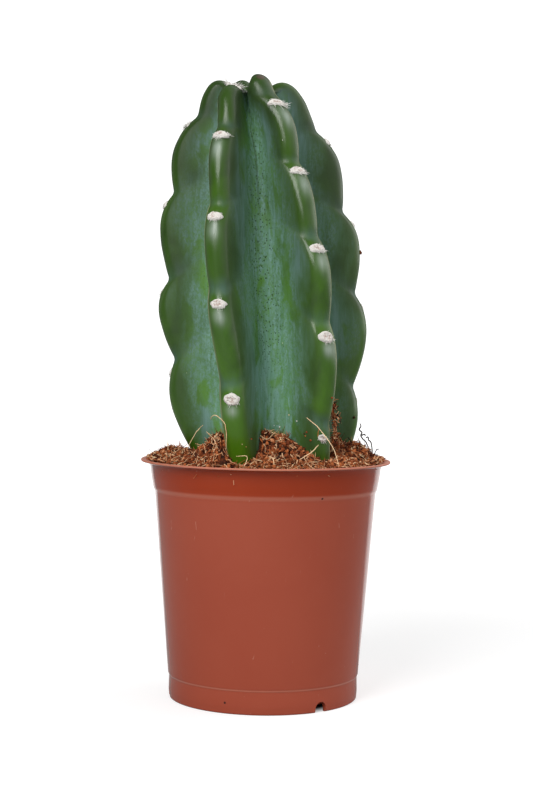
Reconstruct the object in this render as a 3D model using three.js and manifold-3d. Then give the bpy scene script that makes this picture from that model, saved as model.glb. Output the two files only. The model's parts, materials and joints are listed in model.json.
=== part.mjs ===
// Potted tall cactus: a young spineless columnar cereus, potted in a 12 cm plastic nursery pot.
//
// Millimetres, +Z up. The origin is the middle of the pot's foot, on the surface that it stands on.
// The front of the plant faces -Y, with +X to the right. Three pieces, each a mesh of its own:
//   pot   one thin moulding, with a turned-out lip, a step under its collar, a foot band and drain holes
//   soil  the potting mix that fills it, heaped up between the ribs, with a socket for the stem
//   stem  one grown body: five lobed ribs round a sunken growing point, with a felted areole at each notch

import * as THREE from "three";
import { mergeVertices } from "three/addons/utils/BufferGeometryUtils.js";
import Module from "manifold-3d";

const wasm = await Module();
wasm.setup();

// ---- Driving dimensions -------------------------------------------------------------------------

const CLEARANCE = 0.3; // between pieces that touch on the real plant

const POT = {
  height: 114.7,
  rimRadius: 60, // a 12 cm pot, measured over the lip
  lipThickness: 1.3,
  collarTopRadius: 55.9,
  collarRadius: 54.1, // just above the step
  stepHeight: 100.8,
  wallTopRadius: 53.3, // just below the step
  wallFootRadius: 45.9,
  bandHeight: 12, // the upright band round the foot
  bandRadius: 45.4,
  wall: 1.2,
  footWidth: 2.2,
  floorHeight: 3, // underside of the raised floor
  sides: 64,
};
const NOTCH = { width: 6, height: 5, count: 3, firstAngle: 36.6 }; // arched drain notches in the foot band
const DRAIN = { radius: 3.5, ring: 31, count: 8, sides: 12 }; // drain holes in the floor

const SOIL = {
  edgeHeight: 111.2, // where the mix meets the wall
  slope: 0.24, // how steeply it is heaped towards the stem
  level: 56, // distance from the axis at which the heap starts
  crumb: 0.9, // height of its crumbs
  sides: 48,
  rings: 12,
};
// Heaps and one hollow on the even slope: [direction from the front in degrees, distance, height, spread]
const HEAPS = [
  [-85, 47, 6, 11], [-37, 34, 8, 7], [-20, 45, -3.2, 6], [-3, 26, 7.5, 4.5], [15, 27, 9, 8], [34, 35, 3.5, 7],
  [58, 45, 2.5, 6], [74, 33, 8, 6], [87, 46, 7.5, 8], [150, 40, 3, 9], [228, 40, 3, 9],
];

// A rib's crest and the valley beside it, as [distance from the axis, height] from the growing point, over
// the shoulder and down to the buried tip. The two lists run level with each other.
const CREST = [
  [0, 287], [4.5, 290], [9, 294.5], [14.5, 297], [20, 295.5], [25, 290], [29.5, 282], [36, 270], [42, 255],
  [48.5, 224], [51, 186], [48.5, 150], [42.5, 124], [36, 103], [26, 87], [12, 79], [0, 77],
];
const VALLEY = [
  [0, 287], [2.2, 286], [4.2, 284.3], [6.2, 281.5], [8.2, 277.5], [10.2, 272], [12, 265], [13.7, 257],
  [15.5, 245], [17.5, 220], [18.5, 186], [18.5, 150], [18, 125], [17, 103], [13, 87], [6, 79], [0, 77],
];

// The ribs, counter-clockwise seen from above. Crown and foot are the rib's angle in degrees from the front
// towards +X, curl bends it further near the foot, and areoles are distances down its crest from the growing
// point. Reach scales its distance from the axis, lift and pull move its shoulder up and out, pinch moves it
// out below, nod turns its tip, head and thick scale its thickness at the crown and below, roll turns the
// areoles' line round the crest, and calm is the share of its notches' depth that is left at the foot.
const PLAIN = {
  curl: 0, reach: 1, lift: 0, pull: 0, pinch: 0, nod: 0, head: 1, thick: 1, roll: 0, calm: 1,
};
const RIBS = [
  { ...PLAIN, crown: -26, foot: -25.5, curl: 5, areoles: [17, 57, 97, 137.5, 181.5],
    reach: 0.97, lift: -4.2, nod: -8, head: 0.95, roll: 8, calm: 0.3 },
  { ...PLAIN, crown: 33.5, foot: 44, areoles: [39.5, 74, 111, 152, 200],
    reach: 0.985, lift: 1.6, pull: -3, pinch: -5, nod: -15, head: 1.35, thick: 0.98, roll: -15, calm: 0.5 },
  { ...PLAIN, crown: 105, foot: 104, areoles: [8, 55, 96.5, 137, 183.5],
    reach: 1.04, lift: -1, pull: -0.2, roll: 24 },
  { ...PLAIN, crown: 190, foot: 192, areoles: [5, 44, 83, 124, 168], lift: 1, pull: -1.5, nod: 8 },
  { ...PLAIN, crown: 261, foot: 266, areoles: [13, 47, 88.5, 131.5, 170.5],
    reach: 0.965, lift: -0.5, pull: -0.6, pinch: 1.5, roll: -30 },
];

const STEM = {
  crownHeight: 297, // the tops of the ribs
  soilHeight: 118, // about where they enter the soil
  curlFrom: 0.5, // shares of the way down to the soil between which a rib curls
  curlTo: 0.8,
  lean: -9.5, // how far the crown leans towards -X
  leanFoot: 120, // the height from which it leans
  leanSpan: 175,
  pinchHeight: 252, // the middle of each rib's pinch
  pinchSpread: 26,
  notchAbove: 6.5, // from an areole up to the notch over it, on a full-grown lobe
  notchRounding: 1.5, // how far the notch is rounded either way
  lobeLength: 40, // a full-grown lobe
  lobeFullest: 0.4, // where between two notches a lobe is fullest
  crestDepth: 5.7, // a notch in the crest
  pinchAtNotch: 0.12, // the share by which a rib is thinner at a notch
  furrowRise: 0.75, // how fast a notch's furrow climbs towards the valley
  capAngle: 74, // how far round the crest its rounding reaches
};
// Half the thickness of a rib, as [distance down the crest, half thickness]
const THICKNESS = [[0, 4.8], [25, 5.2], [60, 5.7], [110, 6.2], [150, 6.7], [190, 6.7], [230, 6.2]];

const STEM_GRID = { rowsAbove: 46, rowsBuried: 5, capSteps: 3, flankSteps: 4, visible: 232 };

// Widths and heights of the youngest and the oldest areole, which sits lowest
const AREOLE = { width: [9, 7.6], height: [3.9, 5.9], old: 190, rise: 1.3, sides: 6, rings: 4, lowest: 4 };
const STUNTED = 0.62; // the size of an areole below the old ones
const HAIR = { radius: 0.45, length: 4, sunk: 1.2, inset: 0.56, count: 3 };

// ---- Small tools --------------------------------------------------------------------------------

const radians = THREE.MathUtils.degToRad;
const { clamp, lerp } = THREE.MathUtils;

/** A smooth step from 0 to 1 while x goes from 0 to 1. */
function smooth(x) {
  return THREE.MathUtils.smoothstep(x, 0, 1);
}

/** The value at x of a line through [x, value] pairs, level beyond its ends. */
function along(pairs, x) {
  if (x <= pairs[0][0]) return pairs[0][1];
  for (let i = 1; i < pairs.length; i += 1) {
    const [x0, y0] = pairs[i - 1];
    const [x1, y1] = pairs[i];
    if (x <= x1) return y0 + ((y1 - y0) * (x - x0)) / (x1 - x0);
  }
  return pairs[pairs.length - 1][1];
}

/** A closed three.js geometry as a manifold solid. */
function solid(geometry) {
  const bare = geometry.clone();
  bare.deleteAttribute("normal");
  bare.deleteAttribute("uv");
  const merged = mergeVertices(bare, 1e-4);
  return new wasm.Manifold(
    new wasm.Mesh({
      numProp: 3,
      vertProperties: new Float32Array(merged.attributes.position.array),
      triVerts: new Uint32Array(merged.index.array),
    }),
  );
}

/** A manifold solid as a three.js geometry. */
function geometryOf(manifold) {
  const { numProp, vertProperties, triVerts } = manifold.getMesh();
  const positions = [];
  for (let i = 0; i < vertProperties.length; i += numProp) {
    positions.push(vertProperties[i], vertProperties[i + 1], vertProperties[i + 2]);
  }
  const geometry = new THREE.BufferGeometry();
  geometry.setAttribute("position", new THREE.Float32BufferAttribute(positions, 3));
  geometry.setIndex(Array.from(triVerts));
  geometry.computeVertexNormals();
  return geometry;
}

/** Numbers between 0 and 1 that look random and are the same on every run. */
function seeded(seed) {
  let state = seed;
  return () => {
    state = (state * 1664525 + 1013904223) % 4294967296;
    return state / 4294967296;
  };
}

/** A closed surface from a pole, rings of equal length and another pole. Rings run counter-clockwise. */
function ringSurface(top, rings, bottom) {
  const count = rings[0].length;
  const points = [top, ...rings.flat(), bottom];
  const faces = [];
  const at = (ring, k) => 1 + ring * count + (k % count);
  for (let k = 0; k < count; k += 1) {
    faces.push(0, at(0, k), at(0, k + 1));
    for (let ring = 0; ring + 1 < rings.length; ring += 1) {
      faces.push(at(ring, k), at(ring + 1, k), at(ring + 1, k + 1));
      faces.push(at(ring, k), at(ring + 1, k + 1), at(ring, k + 1));
    }
    faces.push(at(rings.length - 1, k + 1), at(rings.length - 1, k), points.length - 1);
  }
  const geometry = new THREE.BufferGeometry();
  geometry.setAttribute("position", new THREE.Float32BufferAttribute(points.flat(), 3));
  geometry.setIndex(faces);
  return geometry;
}

/** A profile of [radius, height] points turned round the Z axis. */
function turned(profile, sides) {
  const points = profile.map(([radius, height]) => new THREE.Vector2(radius, height));
  return new THREE.LatheGeometry(points, sides).rotateX(Math.PI / 2);
}

// ---- Pot ----------------------------------------------------------------------------------------

/** Outer radius of the tapered wall between the foot band and the step. */
function wallRadius(height) {
  const share = (height - POT.bandHeight) / (POT.stepHeight - POT.bandHeight);
  return lerp(POT.wallFootRadius, POT.wallTopRadius, share);
}

/** The inside of the pot from its floor up to the mouth, as [radius, height]. */
function potInside() {
  const floorTop = POT.floorHeight + POT.wall;
  const collarFoot = POT.stepHeight + 1;
  return [
    [wallRadius(floorTop) - POT.wall - 1, floorTop],
    [wallRadius(floorTop + 1) - POT.wall, floorTop + 1],
    [wallRadius(POT.stepHeight - 2) - POT.wall, POT.stepHeight - 2],
    [POT.collarRadius - POT.wall, collarFoot],
    [POT.collarTopRadius - POT.wall, POT.height - POT.lipThickness],
  ];
}

/** The pot's closed profile: underside, outside, lip, inside. */
function potProfile() {
  const footInside = POT.bandRadius - POT.footWidth;
  const lipUnder = POT.height - POT.lipThickness;
  return [
    [0, POT.floorHeight],
    [footInside, POT.floorHeight],
    [footInside, 0],
    [POT.bandRadius - 0.7, 0],
    [POT.bandRadius - 0.1, 0.6],
    [POT.bandRadius + 0.1, 4],
    [POT.bandRadius, POT.bandHeight - 1.6],
    [POT.wallFootRadius, POT.bandHeight],
    [POT.wallTopRadius, POT.stepHeight - 1.6],
    [POT.collarRadius, POT.stepHeight + 1],
    [POT.collarTopRadius, lipUnder - 0.4],
    [POT.rimRadius - 1, lipUnder + 0.2],
    [POT.rimRadius, POT.height - 0.5],
    [POT.rimRadius - 0.5, POT.height],
    [POT.collarTopRadius - 0.2, POT.height - 0.4],
    ...potInside().reverse(),
    [0, POT.floorHeight + POT.wall],
  ];
}

/** An arched notch through the foot band, open at the bottom, at an angle from the front. */
function footNotch(angle) {
  const half = NOTCH.width / 2;
  const arch = new THREE.Shape();
  arch.moveTo(-half, -1);
  arch.lineTo(half, -1);
  arch.lineTo(half, NOTCH.height - half);
  arch.absarc(0, NOTCH.height - half, half, 0, Math.PI, false);
  arch.closePath();
  const depth = POT.footWidth + 2;
  const cut = new THREE.ExtrudeGeometry(arch, { depth, bevelEnabled: false, curveSegments: 8 });
  cut.rotateX(Math.PI / 2);
  cut.translate(0, -(POT.bandRadius - POT.footWidth - 0.6), 0);
  return cut.rotateZ(radians(angle));
}

function makePot() {
  let pot = solid(turned(potProfile(), POT.sides));
  for (let i = 0; i < NOTCH.count; i += 1) {
    pot = pot.subtract(solid(footNotch(NOTCH.firstAngle + (360 * i) / NOTCH.count)));
  }
  for (let i = 0; i < DRAIN.count; i += 1) {
    const hole = new THREE.CylinderGeometry(DRAIN.radius, DRAIN.radius, 4 * POT.wall, DRAIN.sides);
    hole.rotateX(Math.PI / 2);
    hole.translate(DRAIN.ring, 0, POT.floorHeight + POT.wall / 2);
    hole.rotateZ((2 * Math.PI * i) / DRAIN.count);
    pot = pot.subtract(solid(hole));
  }
  return geometryOf(pot);
}

// ---- Stem ---------------------------------------------------------------------------------------

function outline(points) {
  const curve = new THREE.CatmullRomCurve3(
    points.map(([radius, height]) => new THREE.Vector3(radius, height, 0)),
    false,
    "catmullrom",
    0.5,
  );
  curve.arcLengthDivisions = 1000;
  return curve;
}

const crestLine = outline(CREST);
const valleyLine = outline(VALLEY);

/** 1 along the fullest line of a lobe and 0 in the notches over the areoles, at a distance down a crest. */
function sharpLobes(distance, areoles) {
  const notches = areoles.map((areole, i) => {
    const length = i === 0 ? areole : areole - areoles[i - 1];
    return areole - STEM.notchAbove * clamp(length / STEM.lobeLength, 0.2, 1);
  });
  const last = notches[notches.length - 1];
  const edges = [-notches[0], ...notches, last + 1.4 * STEM.lobeLength];
  let i = 0;
  while (i + 2 < edges.length && distance >= edges[i + 1]) i += 1;
  const share = clamp((distance - edges[i]) / (edges[i + 1] - edges[i]), 0, 1);
  const rise = clamp(1 - share / STEM.lobeFullest, 0, 1) ** 2.2;
  const fall = clamp((share - STEM.lobeFullest) / (1 - STEM.lobeFullest), 0, 1) ** 1.6;
  return 1 - rise - fall;
}

/** The same with rounded notches: the mean of five places close together. */
function lobeFullness(distance, areoles) {
  const shifts = [-1, -0.5, 0, 0.5, 1].map((step) => step * STEM.notchRounding);
  return shifts.reduce((sum, shift) => sum + sharpLobes(distance + shift, areoles), 0) / shifts.length;
}

/** How far the stem leans along X at a height. */
function leanAt(height) {
  return STEM.lean * clamp((height - STEM.leanFoot) / STEM.leanSpan, -0.3, 1.1);
}

/** What is the same for every rib at a distance down the crest. */
function stemRow(distance) {
  const place = crestLine.getUtoTmapping(0, distance);
  const crest = crestLine.getPoint(place);
  const valley = valleyLine.getPoint(place);
  const down = crestLine.getTangent(place);
  const fromTop = (STEM.crownHeight - Math.min(crest.y, STEM.crownHeight)) / 14;
  return {
    distance,
    crest: new THREE.Vector2(Math.max(crest.x, 0), crest.y),
    valley: new THREE.Vector2(Math.max(valley.x, 0), valley.y),
    outward: new THREE.Vector2(-down.y, down.x),
    age: clamp((STEM.crownHeight - crest.y) / (STEM.crownHeight - STEM.soilHeight), 0, 1),
    crown: Math.exp(-(fromTop ** 2)) * smooth(distance / 18),
    thickness: along(THICKNESS, distance),
    relief: (0.35 + 0.65 * smooth(distance / 95)) * smooth(crest.x / 18) * smooth((crest.y - 88) / 24),
  };
}

/** Direction of a rib, in radians from the front, at a row. */
function ribAngle(rib, row) {
  const curled = smooth((row.age - STEM.curlFrom) / (STEM.curlTo - STEM.curlFrom));
  return radians(lerp(rib.crown, rib.foot, row.age) + rib.curl * curled + rib.nod * row.crown);
}

/** How far the areoles' line is turned round a rib's crest at a row, in degrees. */
function ribRoll(rib, row) {
  return rib.roll * lerp(0.3, 1.4, row.age);
}

/** Half the angle between a rib and its neighbour on one side. */
function halfGap(index, side, row) {
  const next = RIBS[(index + side + RIBS.length) % RIBS.length];
  const turn = side * (ribAngle(next, row) - ribAngle(RIBS[index], row));
  return (turn < 0 ? turn + 2 * Math.PI : turn) / 2;
}

/** How far a rib's crest reaches from the axis at a row. */
function crestReach(rib, row) {
  const reach = row.crest.x * (1 + (rib.reach - 1) * smooth((row.crest.x - 6) / 25));
  const pinch = rib.pinch * Math.exp(-(((row.crest.y - STEM.pinchHeight) / STEM.pinchSpread) ** 2));
  return Math.max(reach + rib.pull * row.crown * smooth(row.crest.x / 12) + pinch, 0);
}

/** The side of a rib, from the end of its rounded crest at u, w to the valley, in the rib's own plane. */
function facePoint(u, w, turn, beta, row, share) {
  const valleyU = row.valley.x * Math.cos(beta);
  const valleyW = row.valley.x * Math.sin(beta);
  const length = Math.hypot(u - valleyU, w - valleyW);
  const bend = Math.min(0.25 * length, 0.45 * row.valley.x);
  const nearCrest = 0.35 * length;
  const face = new THREE.CubicBezierCurve(
    new THREE.Vector2(u, w),
    new THREE.Vector2(u - nearCrest * Math.sin(turn) * row.outward.x, w + nearCrest * Math.cos(turn)),
    new THREE.Vector2(
      valleyU + bend * (0.85 * Math.sin(beta) + 0.15),
      valleyW - 0.85 * bend * Math.cos(beta),
    ),
    new THREE.Vector2(valleyU, valleyW),
  );
  const { x, y } = face.getPoint(share);
  return { u: x, w: y, length };
}

/**
 * A point of the stem. Place runs from 0 on the crest over 1, where the rounded crest ends, to 2 in the
 * valley, and side is -1 or 1. The section of half a rib is an arc and then a Bezier curve to the valley,
 * and the notches draw the crest inwards.
 */
function stemPoint(index, row, side, place) {
  const rib = RIBS[index];
  const beta = halfGap(index, side, row);
  const out = crestReach(rib, row);
  const full = row.thickness * lerp(rib.thick, rib.head, row.crown);
  const half = Math.min(full, 0.75 * out * Math.tan(Math.min(beta, 1.2)));

  const turn = radians(lerp(side * ribRoll(rib, row), STEM.capAngle, Math.min(place, 1)));
  let sunk = half * (1 - Math.cos(turn));
  let u = out - sunk * row.outward.x;
  let w = half * Math.sin(turn);
  let z = row.crest.y + rib.lift * row.crown - sunk * row.outward.y;
  const share = Math.max(place - 1, 0);
  if (share > 0) {
    const face = facePoint(u, w, turn, beta, row, share);
    ({ u, w } = face);
    z = lerp(z, row.valley.y, smooth(share));
    sunk += share * face.length;
  }

  const furrow = STEM.furrowRise * Math.max(sunk - 1.5, 0);
  const relief = row.relief * lerp(1, rib.calm, row.age);
  const hollow = (1 - lobeFullness(row.distance + furrow, rib.areoles)) * relief;
  const inward = STEM.crestDepth * hollow * (1 - smooth(1.1 * share));
  u -= inward * row.outward.x;
  w *= 1 - STEM.pinchAtNotch * hollow * (1 - smooth(share));
  z -= inward * row.outward.y;
  const angle = ribAngle(rib, row);
  return [
    u * Math.sin(angle) + side * w * Math.cos(angle) + leanAt(z),
    -u * Math.cos(angle) + side * w * Math.sin(angle),
    z,
  ];
}

/** Distances down the crest of the grid's rows: close together above the soil, wider where it is buried. */
function rowDistances() {
  const { rowsAbove, rowsBuried, visible } = STEM_GRID;
  const buriedStep = (crestLine.getLength() - visible) / (rowsBuried + 1);
  const above = Array.from({ length: rowsAbove }, (_, i) => (visible * (i + 1)) / rowsAbove);
  const buried = Array.from({ length: rowsBuried }, (_, i) => visible + buriedStep * (i + 1));
  return [...above, ...buried];
}

function stemSurface() {
  const { capSteps, flankSteps } = STEM_GRID;
  const places = [
    ...Array.from({ length: capSteps }, (_, i) => i / capSteps),
    ...Array.from({ length: flankSteps + 1 }, (_, i) => 1 + i / flankSteps),
  ];
  const rings = rowDistances().map((distance) => {
    const row = stemRow(distance);
    return RIBS.flatMap((_, index) => {
      const before = places.slice(1).reverse().map((place) => stemPoint(index, row, -1, place));
      const after = places.slice(0, -1).map((place) => stemPoint(index, row, 1, place));
      return [...before, ...after];
    });
  });
  const [growingPoint, tip] = [CREST[0][1], CREST[CREST.length - 1][1]].map((z) => [leanAt(z), 0, z]);
  return ringSurface(growingPoint, rings, tip);
}

/** The same surface, moved outwards by a distance along its normals. */
function swollen(geometry, distance) {
  const moved = geometry.clone();
  moved.computeVertexNormals();
  const { position, normal } = moved.attributes;
  const point = new THREE.Vector3();
  const direction = new THREE.Vector3();
  for (let i = 0; i < position.count; i += 1) {
    point.fromBufferAttribute(position, i);
    direction.fromBufferAttribute(normal, i);
    point.addScaledVector(direction, distance);
    position.setXYZ(i, point.x, point.y, point.z);
  }
  return moved;
}

/** Where each areole sits, its directions across the rib, up the crest and outwards, and its half size. */
function areoleFrames() {
  const frames = [];
  RIBS.forEach((rib, index) => {
    for (const distance of rib.areoles) {
      const row = stemRow(distance);
      const here = new THREE.Vector3(...stemPoint(index, row, 1, 0));
      const above = new THREE.Vector3(...stemPoint(index, stemRow(distance - 1.5), 1, 0));
      const angle = ribAngle(rib, row) + radians(ribRoll(rib, row));
      const across = new THREE.Vector3(Math.cos(angle), Math.sin(angle), 0);
      const up = above.sub(here).normalize();
      const outward = new THREE.Vector3().crossVectors(across, up).normalize();
      const age = smooth(distance / AREOLE.old);
      const scale = (distance > AREOLE.old ? STUNTED : 1) / 2;
      const halfWidth = scale * lerp(...AREOLE.width, age);
      const halfHeight = scale * lerp(...AREOLE.height, age);
      frames.push({ here, across, up, outward, halfWidth, halfHeight });
    }
  });
  return frames;
}

/** A flat felted cushion with short hairs round its lower edge, set on the crest. */
function areole({ here, across, up, outward, halfWidth, halfHeight }, random) {
  const basis = new THREE.Matrix4().makeBasis(across, up, outward).setPosition(here);
  const pad = new THREE.SphereGeometry(1, AREOLE.sides, AREOLE.rings);
  pad.scale(halfWidth, halfHeight, 2 * AREOLE.rise).translate(0, 0, -AREOLE.rise);
  let cushion = solid(pad.applyMatrix4(basis));
  for (let i = 0; i < HAIR.count; i += 1) {
    const turn = Math.PI * (1.15 + (0.7 * (i + random())) / HAIR.count);
    const direction = new THREE.Vector3(Math.cos(turn), Math.sin(turn), 0.9 + 0.7 * random()).normalize();
    const hair = new THREE.ConeGeometry(HAIR.radius, HAIR.length, 3);
    hair.translate(0, HAIR.length / 2 - HAIR.sunk, 0);
    hair.applyQuaternion(new THREE.Quaternion().setFromUnitVectors(new THREE.Vector3(0, 1, 0), direction));
    hair.translate(HAIR.inset * halfWidth * Math.cos(turn), HAIR.inset * halfHeight * Math.sin(turn), 0.3);
    cushion = cushion.add(solid(hair.applyMatrix4(basis)));
  }
  return cushion;
}

function makeStem(surface) {
  const random = seeded(7);
  let stem = solid(surface);
  for (const frame of areoleFrames()) {
    const cushion = areole(frame, random);
    const ground = soilHeight(frame.here.x, frame.here.y);
    if (frame.here.z - AREOLE.lowest > ground) stem = stem.add(cushion);
  }
  return geometryOf(stem);
}

// ---- Soil ---------------------------------------------------------------------------------------

/** Height of the potting mix over a point, with its heaps and crumbs. */
function soilHeight(x, y) {
  const distance = Math.hypot(x, y);
  const free = smooth((SOIL.level - distance) / 6);
  let height = SOIL.edgeHeight + SOIL.slope * Math.max(SOIL.level - distance, 0);
  for (const [angle, out, rise, spread] of HEAPS) {
    const dx = x - out * Math.sin(radians(angle));
    const dy = y + out * Math.cos(radians(angle));
    height += rise * Math.exp(-(dx * dx + dy * dy) / spread ** 2);
  }
  const coarse = Math.sin(0.83 * x + 1.7) * Math.sin(0.71 * y);
  const fine = Math.sin(0.47 * x - 1.1 * y) * Math.cos(1.3 * x + 0.4 * y);
  return height + SOIL.crumb * (coarse + fine) * free;
}

/** A ring of points round the axis, each at the height that a function gives. */
function soilRing(radius, heightAt) {
  return Array.from({ length: SOIL.sides }, (_, k) => {
    const angle = (2 * Math.PI * k) / SOIL.sides;
    const x = radius * Math.cos(angle);
    const y = radius * Math.sin(angle);
    return [x, y, heightAt(x, y)];
  });
}

/** The crumbly top, the side that follows the inside of the pot and the flat underside, less the stem. */
function makeSoil(stemSolid) {
  const [mouth, ...wall] = potInside().reverse();
  const share = (SOIL.edgeHeight - wall[0][1]) / (mouth[1] - wall[0][1]);
  const edgeRadius = lerp(wall[0][0], mouth[0], share) - 2 * CLEARANCE;
  const underside = POT.floorHeight + POT.wall + CLEARANCE;
  const top = Array.from({ length: SOIL.rings - 1 }, (_, i) =>
    soilRing((edgeRadius * (i + 1)) / SOIL.rings, soilHeight),
  );
  const edge = soilRing(edgeRadius, () => SOIL.edgeHeight);
  const sides = wall.map(([radius, height]) =>
    soilRing(radius - CLEARANCE, () => Math.max(height, underside)),
  );
  const heap = ringSurface([0, 0, soilHeight(0, 0)], [...top, edge, ...sides], [0, 0, underside]);
  return geometryOf(solid(heap).subtract(stemSolid));
}

// ---- The plant in its pot -----------------------------------------------------------------------

function mesh(name, geometry, color, roughness) {
  const finish = new THREE.MeshStandardMaterial({ color, roughness, metalness: 0 });
  const piece = new THREE.Mesh(geometry, finish);
  piece.name = name;
  return piece;
}

const surface = stemSurface();
const plant = new THREE.Group();
plant.add(mesh("pot", makePot(), 0x8e4630, 0.35));
plant.add(mesh("soil", makeSoil(solid(swollen(surface, CLEARANCE))), 0x6b3a22, 0.95));
plant.add(mesh("stem", makeStem(surface), 0x2f5a2c, 0.45));

export default plant;
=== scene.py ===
"""Potted tall cactus: the finish of the stem, its areoles, the potting mix and the plastic pot.

Blender 4.5. The maths is in millimetres and MM turns it into metres. The origin is the middle of the
pot's foot, on the floor, with +Z up, -Y the front of the plant and +X to the right.
"""

import json
import math

import bpy
import numpy as np
from mathutils import Matrix, Vector

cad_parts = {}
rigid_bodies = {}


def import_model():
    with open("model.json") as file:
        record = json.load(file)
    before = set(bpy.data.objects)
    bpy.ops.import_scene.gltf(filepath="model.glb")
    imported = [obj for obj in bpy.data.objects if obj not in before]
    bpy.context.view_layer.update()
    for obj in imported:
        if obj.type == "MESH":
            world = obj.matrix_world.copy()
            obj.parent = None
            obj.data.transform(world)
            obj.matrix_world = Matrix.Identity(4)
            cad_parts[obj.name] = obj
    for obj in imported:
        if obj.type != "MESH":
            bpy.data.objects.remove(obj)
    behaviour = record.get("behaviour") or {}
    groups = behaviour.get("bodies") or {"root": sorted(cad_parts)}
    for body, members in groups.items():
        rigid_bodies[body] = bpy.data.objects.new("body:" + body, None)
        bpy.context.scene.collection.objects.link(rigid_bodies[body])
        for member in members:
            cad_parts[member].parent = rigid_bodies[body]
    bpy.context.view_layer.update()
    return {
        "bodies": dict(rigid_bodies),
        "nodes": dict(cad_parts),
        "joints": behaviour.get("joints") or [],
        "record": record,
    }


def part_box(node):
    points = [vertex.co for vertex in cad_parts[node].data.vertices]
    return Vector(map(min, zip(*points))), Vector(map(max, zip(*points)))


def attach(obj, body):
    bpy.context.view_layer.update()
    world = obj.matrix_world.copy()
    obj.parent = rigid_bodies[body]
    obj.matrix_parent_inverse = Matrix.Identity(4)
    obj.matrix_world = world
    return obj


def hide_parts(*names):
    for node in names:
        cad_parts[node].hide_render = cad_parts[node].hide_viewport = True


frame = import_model()

MM = 0.001
rng = np.random.default_rng(12)

# ---- Pot, in millimetres ------------------------------------------------------------------------

RIM_RADIUS, _, POT_HEIGHT = np.array(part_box("pot")[1]) / MM
LIP = 1.3  # thickness of the lip
WALL = 1.2
COLLAR_TOP_RADIUS = 55.9
COLLAR_RADIUS = 54.1  # just above the step
STEP_HEIGHT = 100.8
WALL_TOP_RADIUS = 53.3
WALL_FOOT_RADIUS = 45.9
BAND_HEIGHT = 12  # the upright band round the foot
BAND_RADIUS = 45.4
FOOT_WIDTH = 2.2
FLOOR_HEIGHT = 3  # underside of the raised floor
FLOOR_TOP = FLOOR_HEIGHT + WALL
NOTCH_ANGLES = (36.6, 156.6, 276.6)  # drain notches in the band, in degrees from the front
NOTCH_WIDTH = 6
NOTCH_HEIGHT = 5
DRAIN_RADIUS = 3.5
DRAIN_RING = 31
DRAINS = 8
DRAIN_TURN = 0.2  # of the ring of drain holes, as a share of their spacing
POT_COLUMNS = 288
SHARP_EDGE = 50  # degrees between faces, above which an edge looks sharp
# Dark marks on the outside: place and radius
PIN_MARKS = (((-17.3, -41.9, 5.2), 0.7), ((26, -46.8, 100.4), 0.7))

# ---- Potting mix, in millimetres ----------------------------------------------------------------

SOIL_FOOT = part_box("soil")[0][2] / MM
SOIL_EDGE = 111.2  # where the mix meets the wall
SOIL_SLOPE = 0.24
SOIL_LEVEL = 56
SOIL_GAP = 0.4  # between the bed of mix and the wall
# Heaps: degrees from the front, distance from the axis, height, spread
HEAPS = (
    (-85, 47, 6, 11), (-50, 38, 5, 8), (-37, 34, 10, 7), (-20, 46, -5, 7), (-3, 26, 7.5, 4.5), (15, 27, 9, 8),
    (34, 35, 3.5, 7), (58, 45, 2.5, 6), (74, 33, 8, 6), (80, 41, 3.5, 6), (87, 46, 7.5, 8), (150, 40, 3, 9),
    (228, 40, 3, 9),
)
LUMPS = ((1.0, 3.2, 6), (0.7, 1.3, 7))  # of the bed's top: height, width, seed
SOIL_COLUMNS, SOIL_RINGS, SOIL_SIDE_RINGS = 256, 110, 24
# Lying shreds: count, length, half width, half thickness, tilt, lift over the mix, curl
BROAD_SHREDS = (3400, (2.0, 5.0), (0.25, 0.62), (0.14, 0.32), 0.35, (-0.5, 0.7), 0.5)
FINE_SHREDS = (3000, (3.0, 7.5), (0.12, 0.26), (0.1, 0.2), 0.45, (-0.1, 1.1), 0.9)
LOOSE_CRUMBS = 2600
SPILLS = ((-88, 260), (88, 200))  # angle from the front and count of the shreds over the lip
SPILL_SPREAD = 15  # degrees
SPILL_RADIUS = 56.4
TANGLED_SHREDS = 130
# Coir caught against the side of a rib: the line that it hangs along
TANGLE = ((30.8, -24, 145), (32, -24, 136), (32.2, -22, 124))
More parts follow.
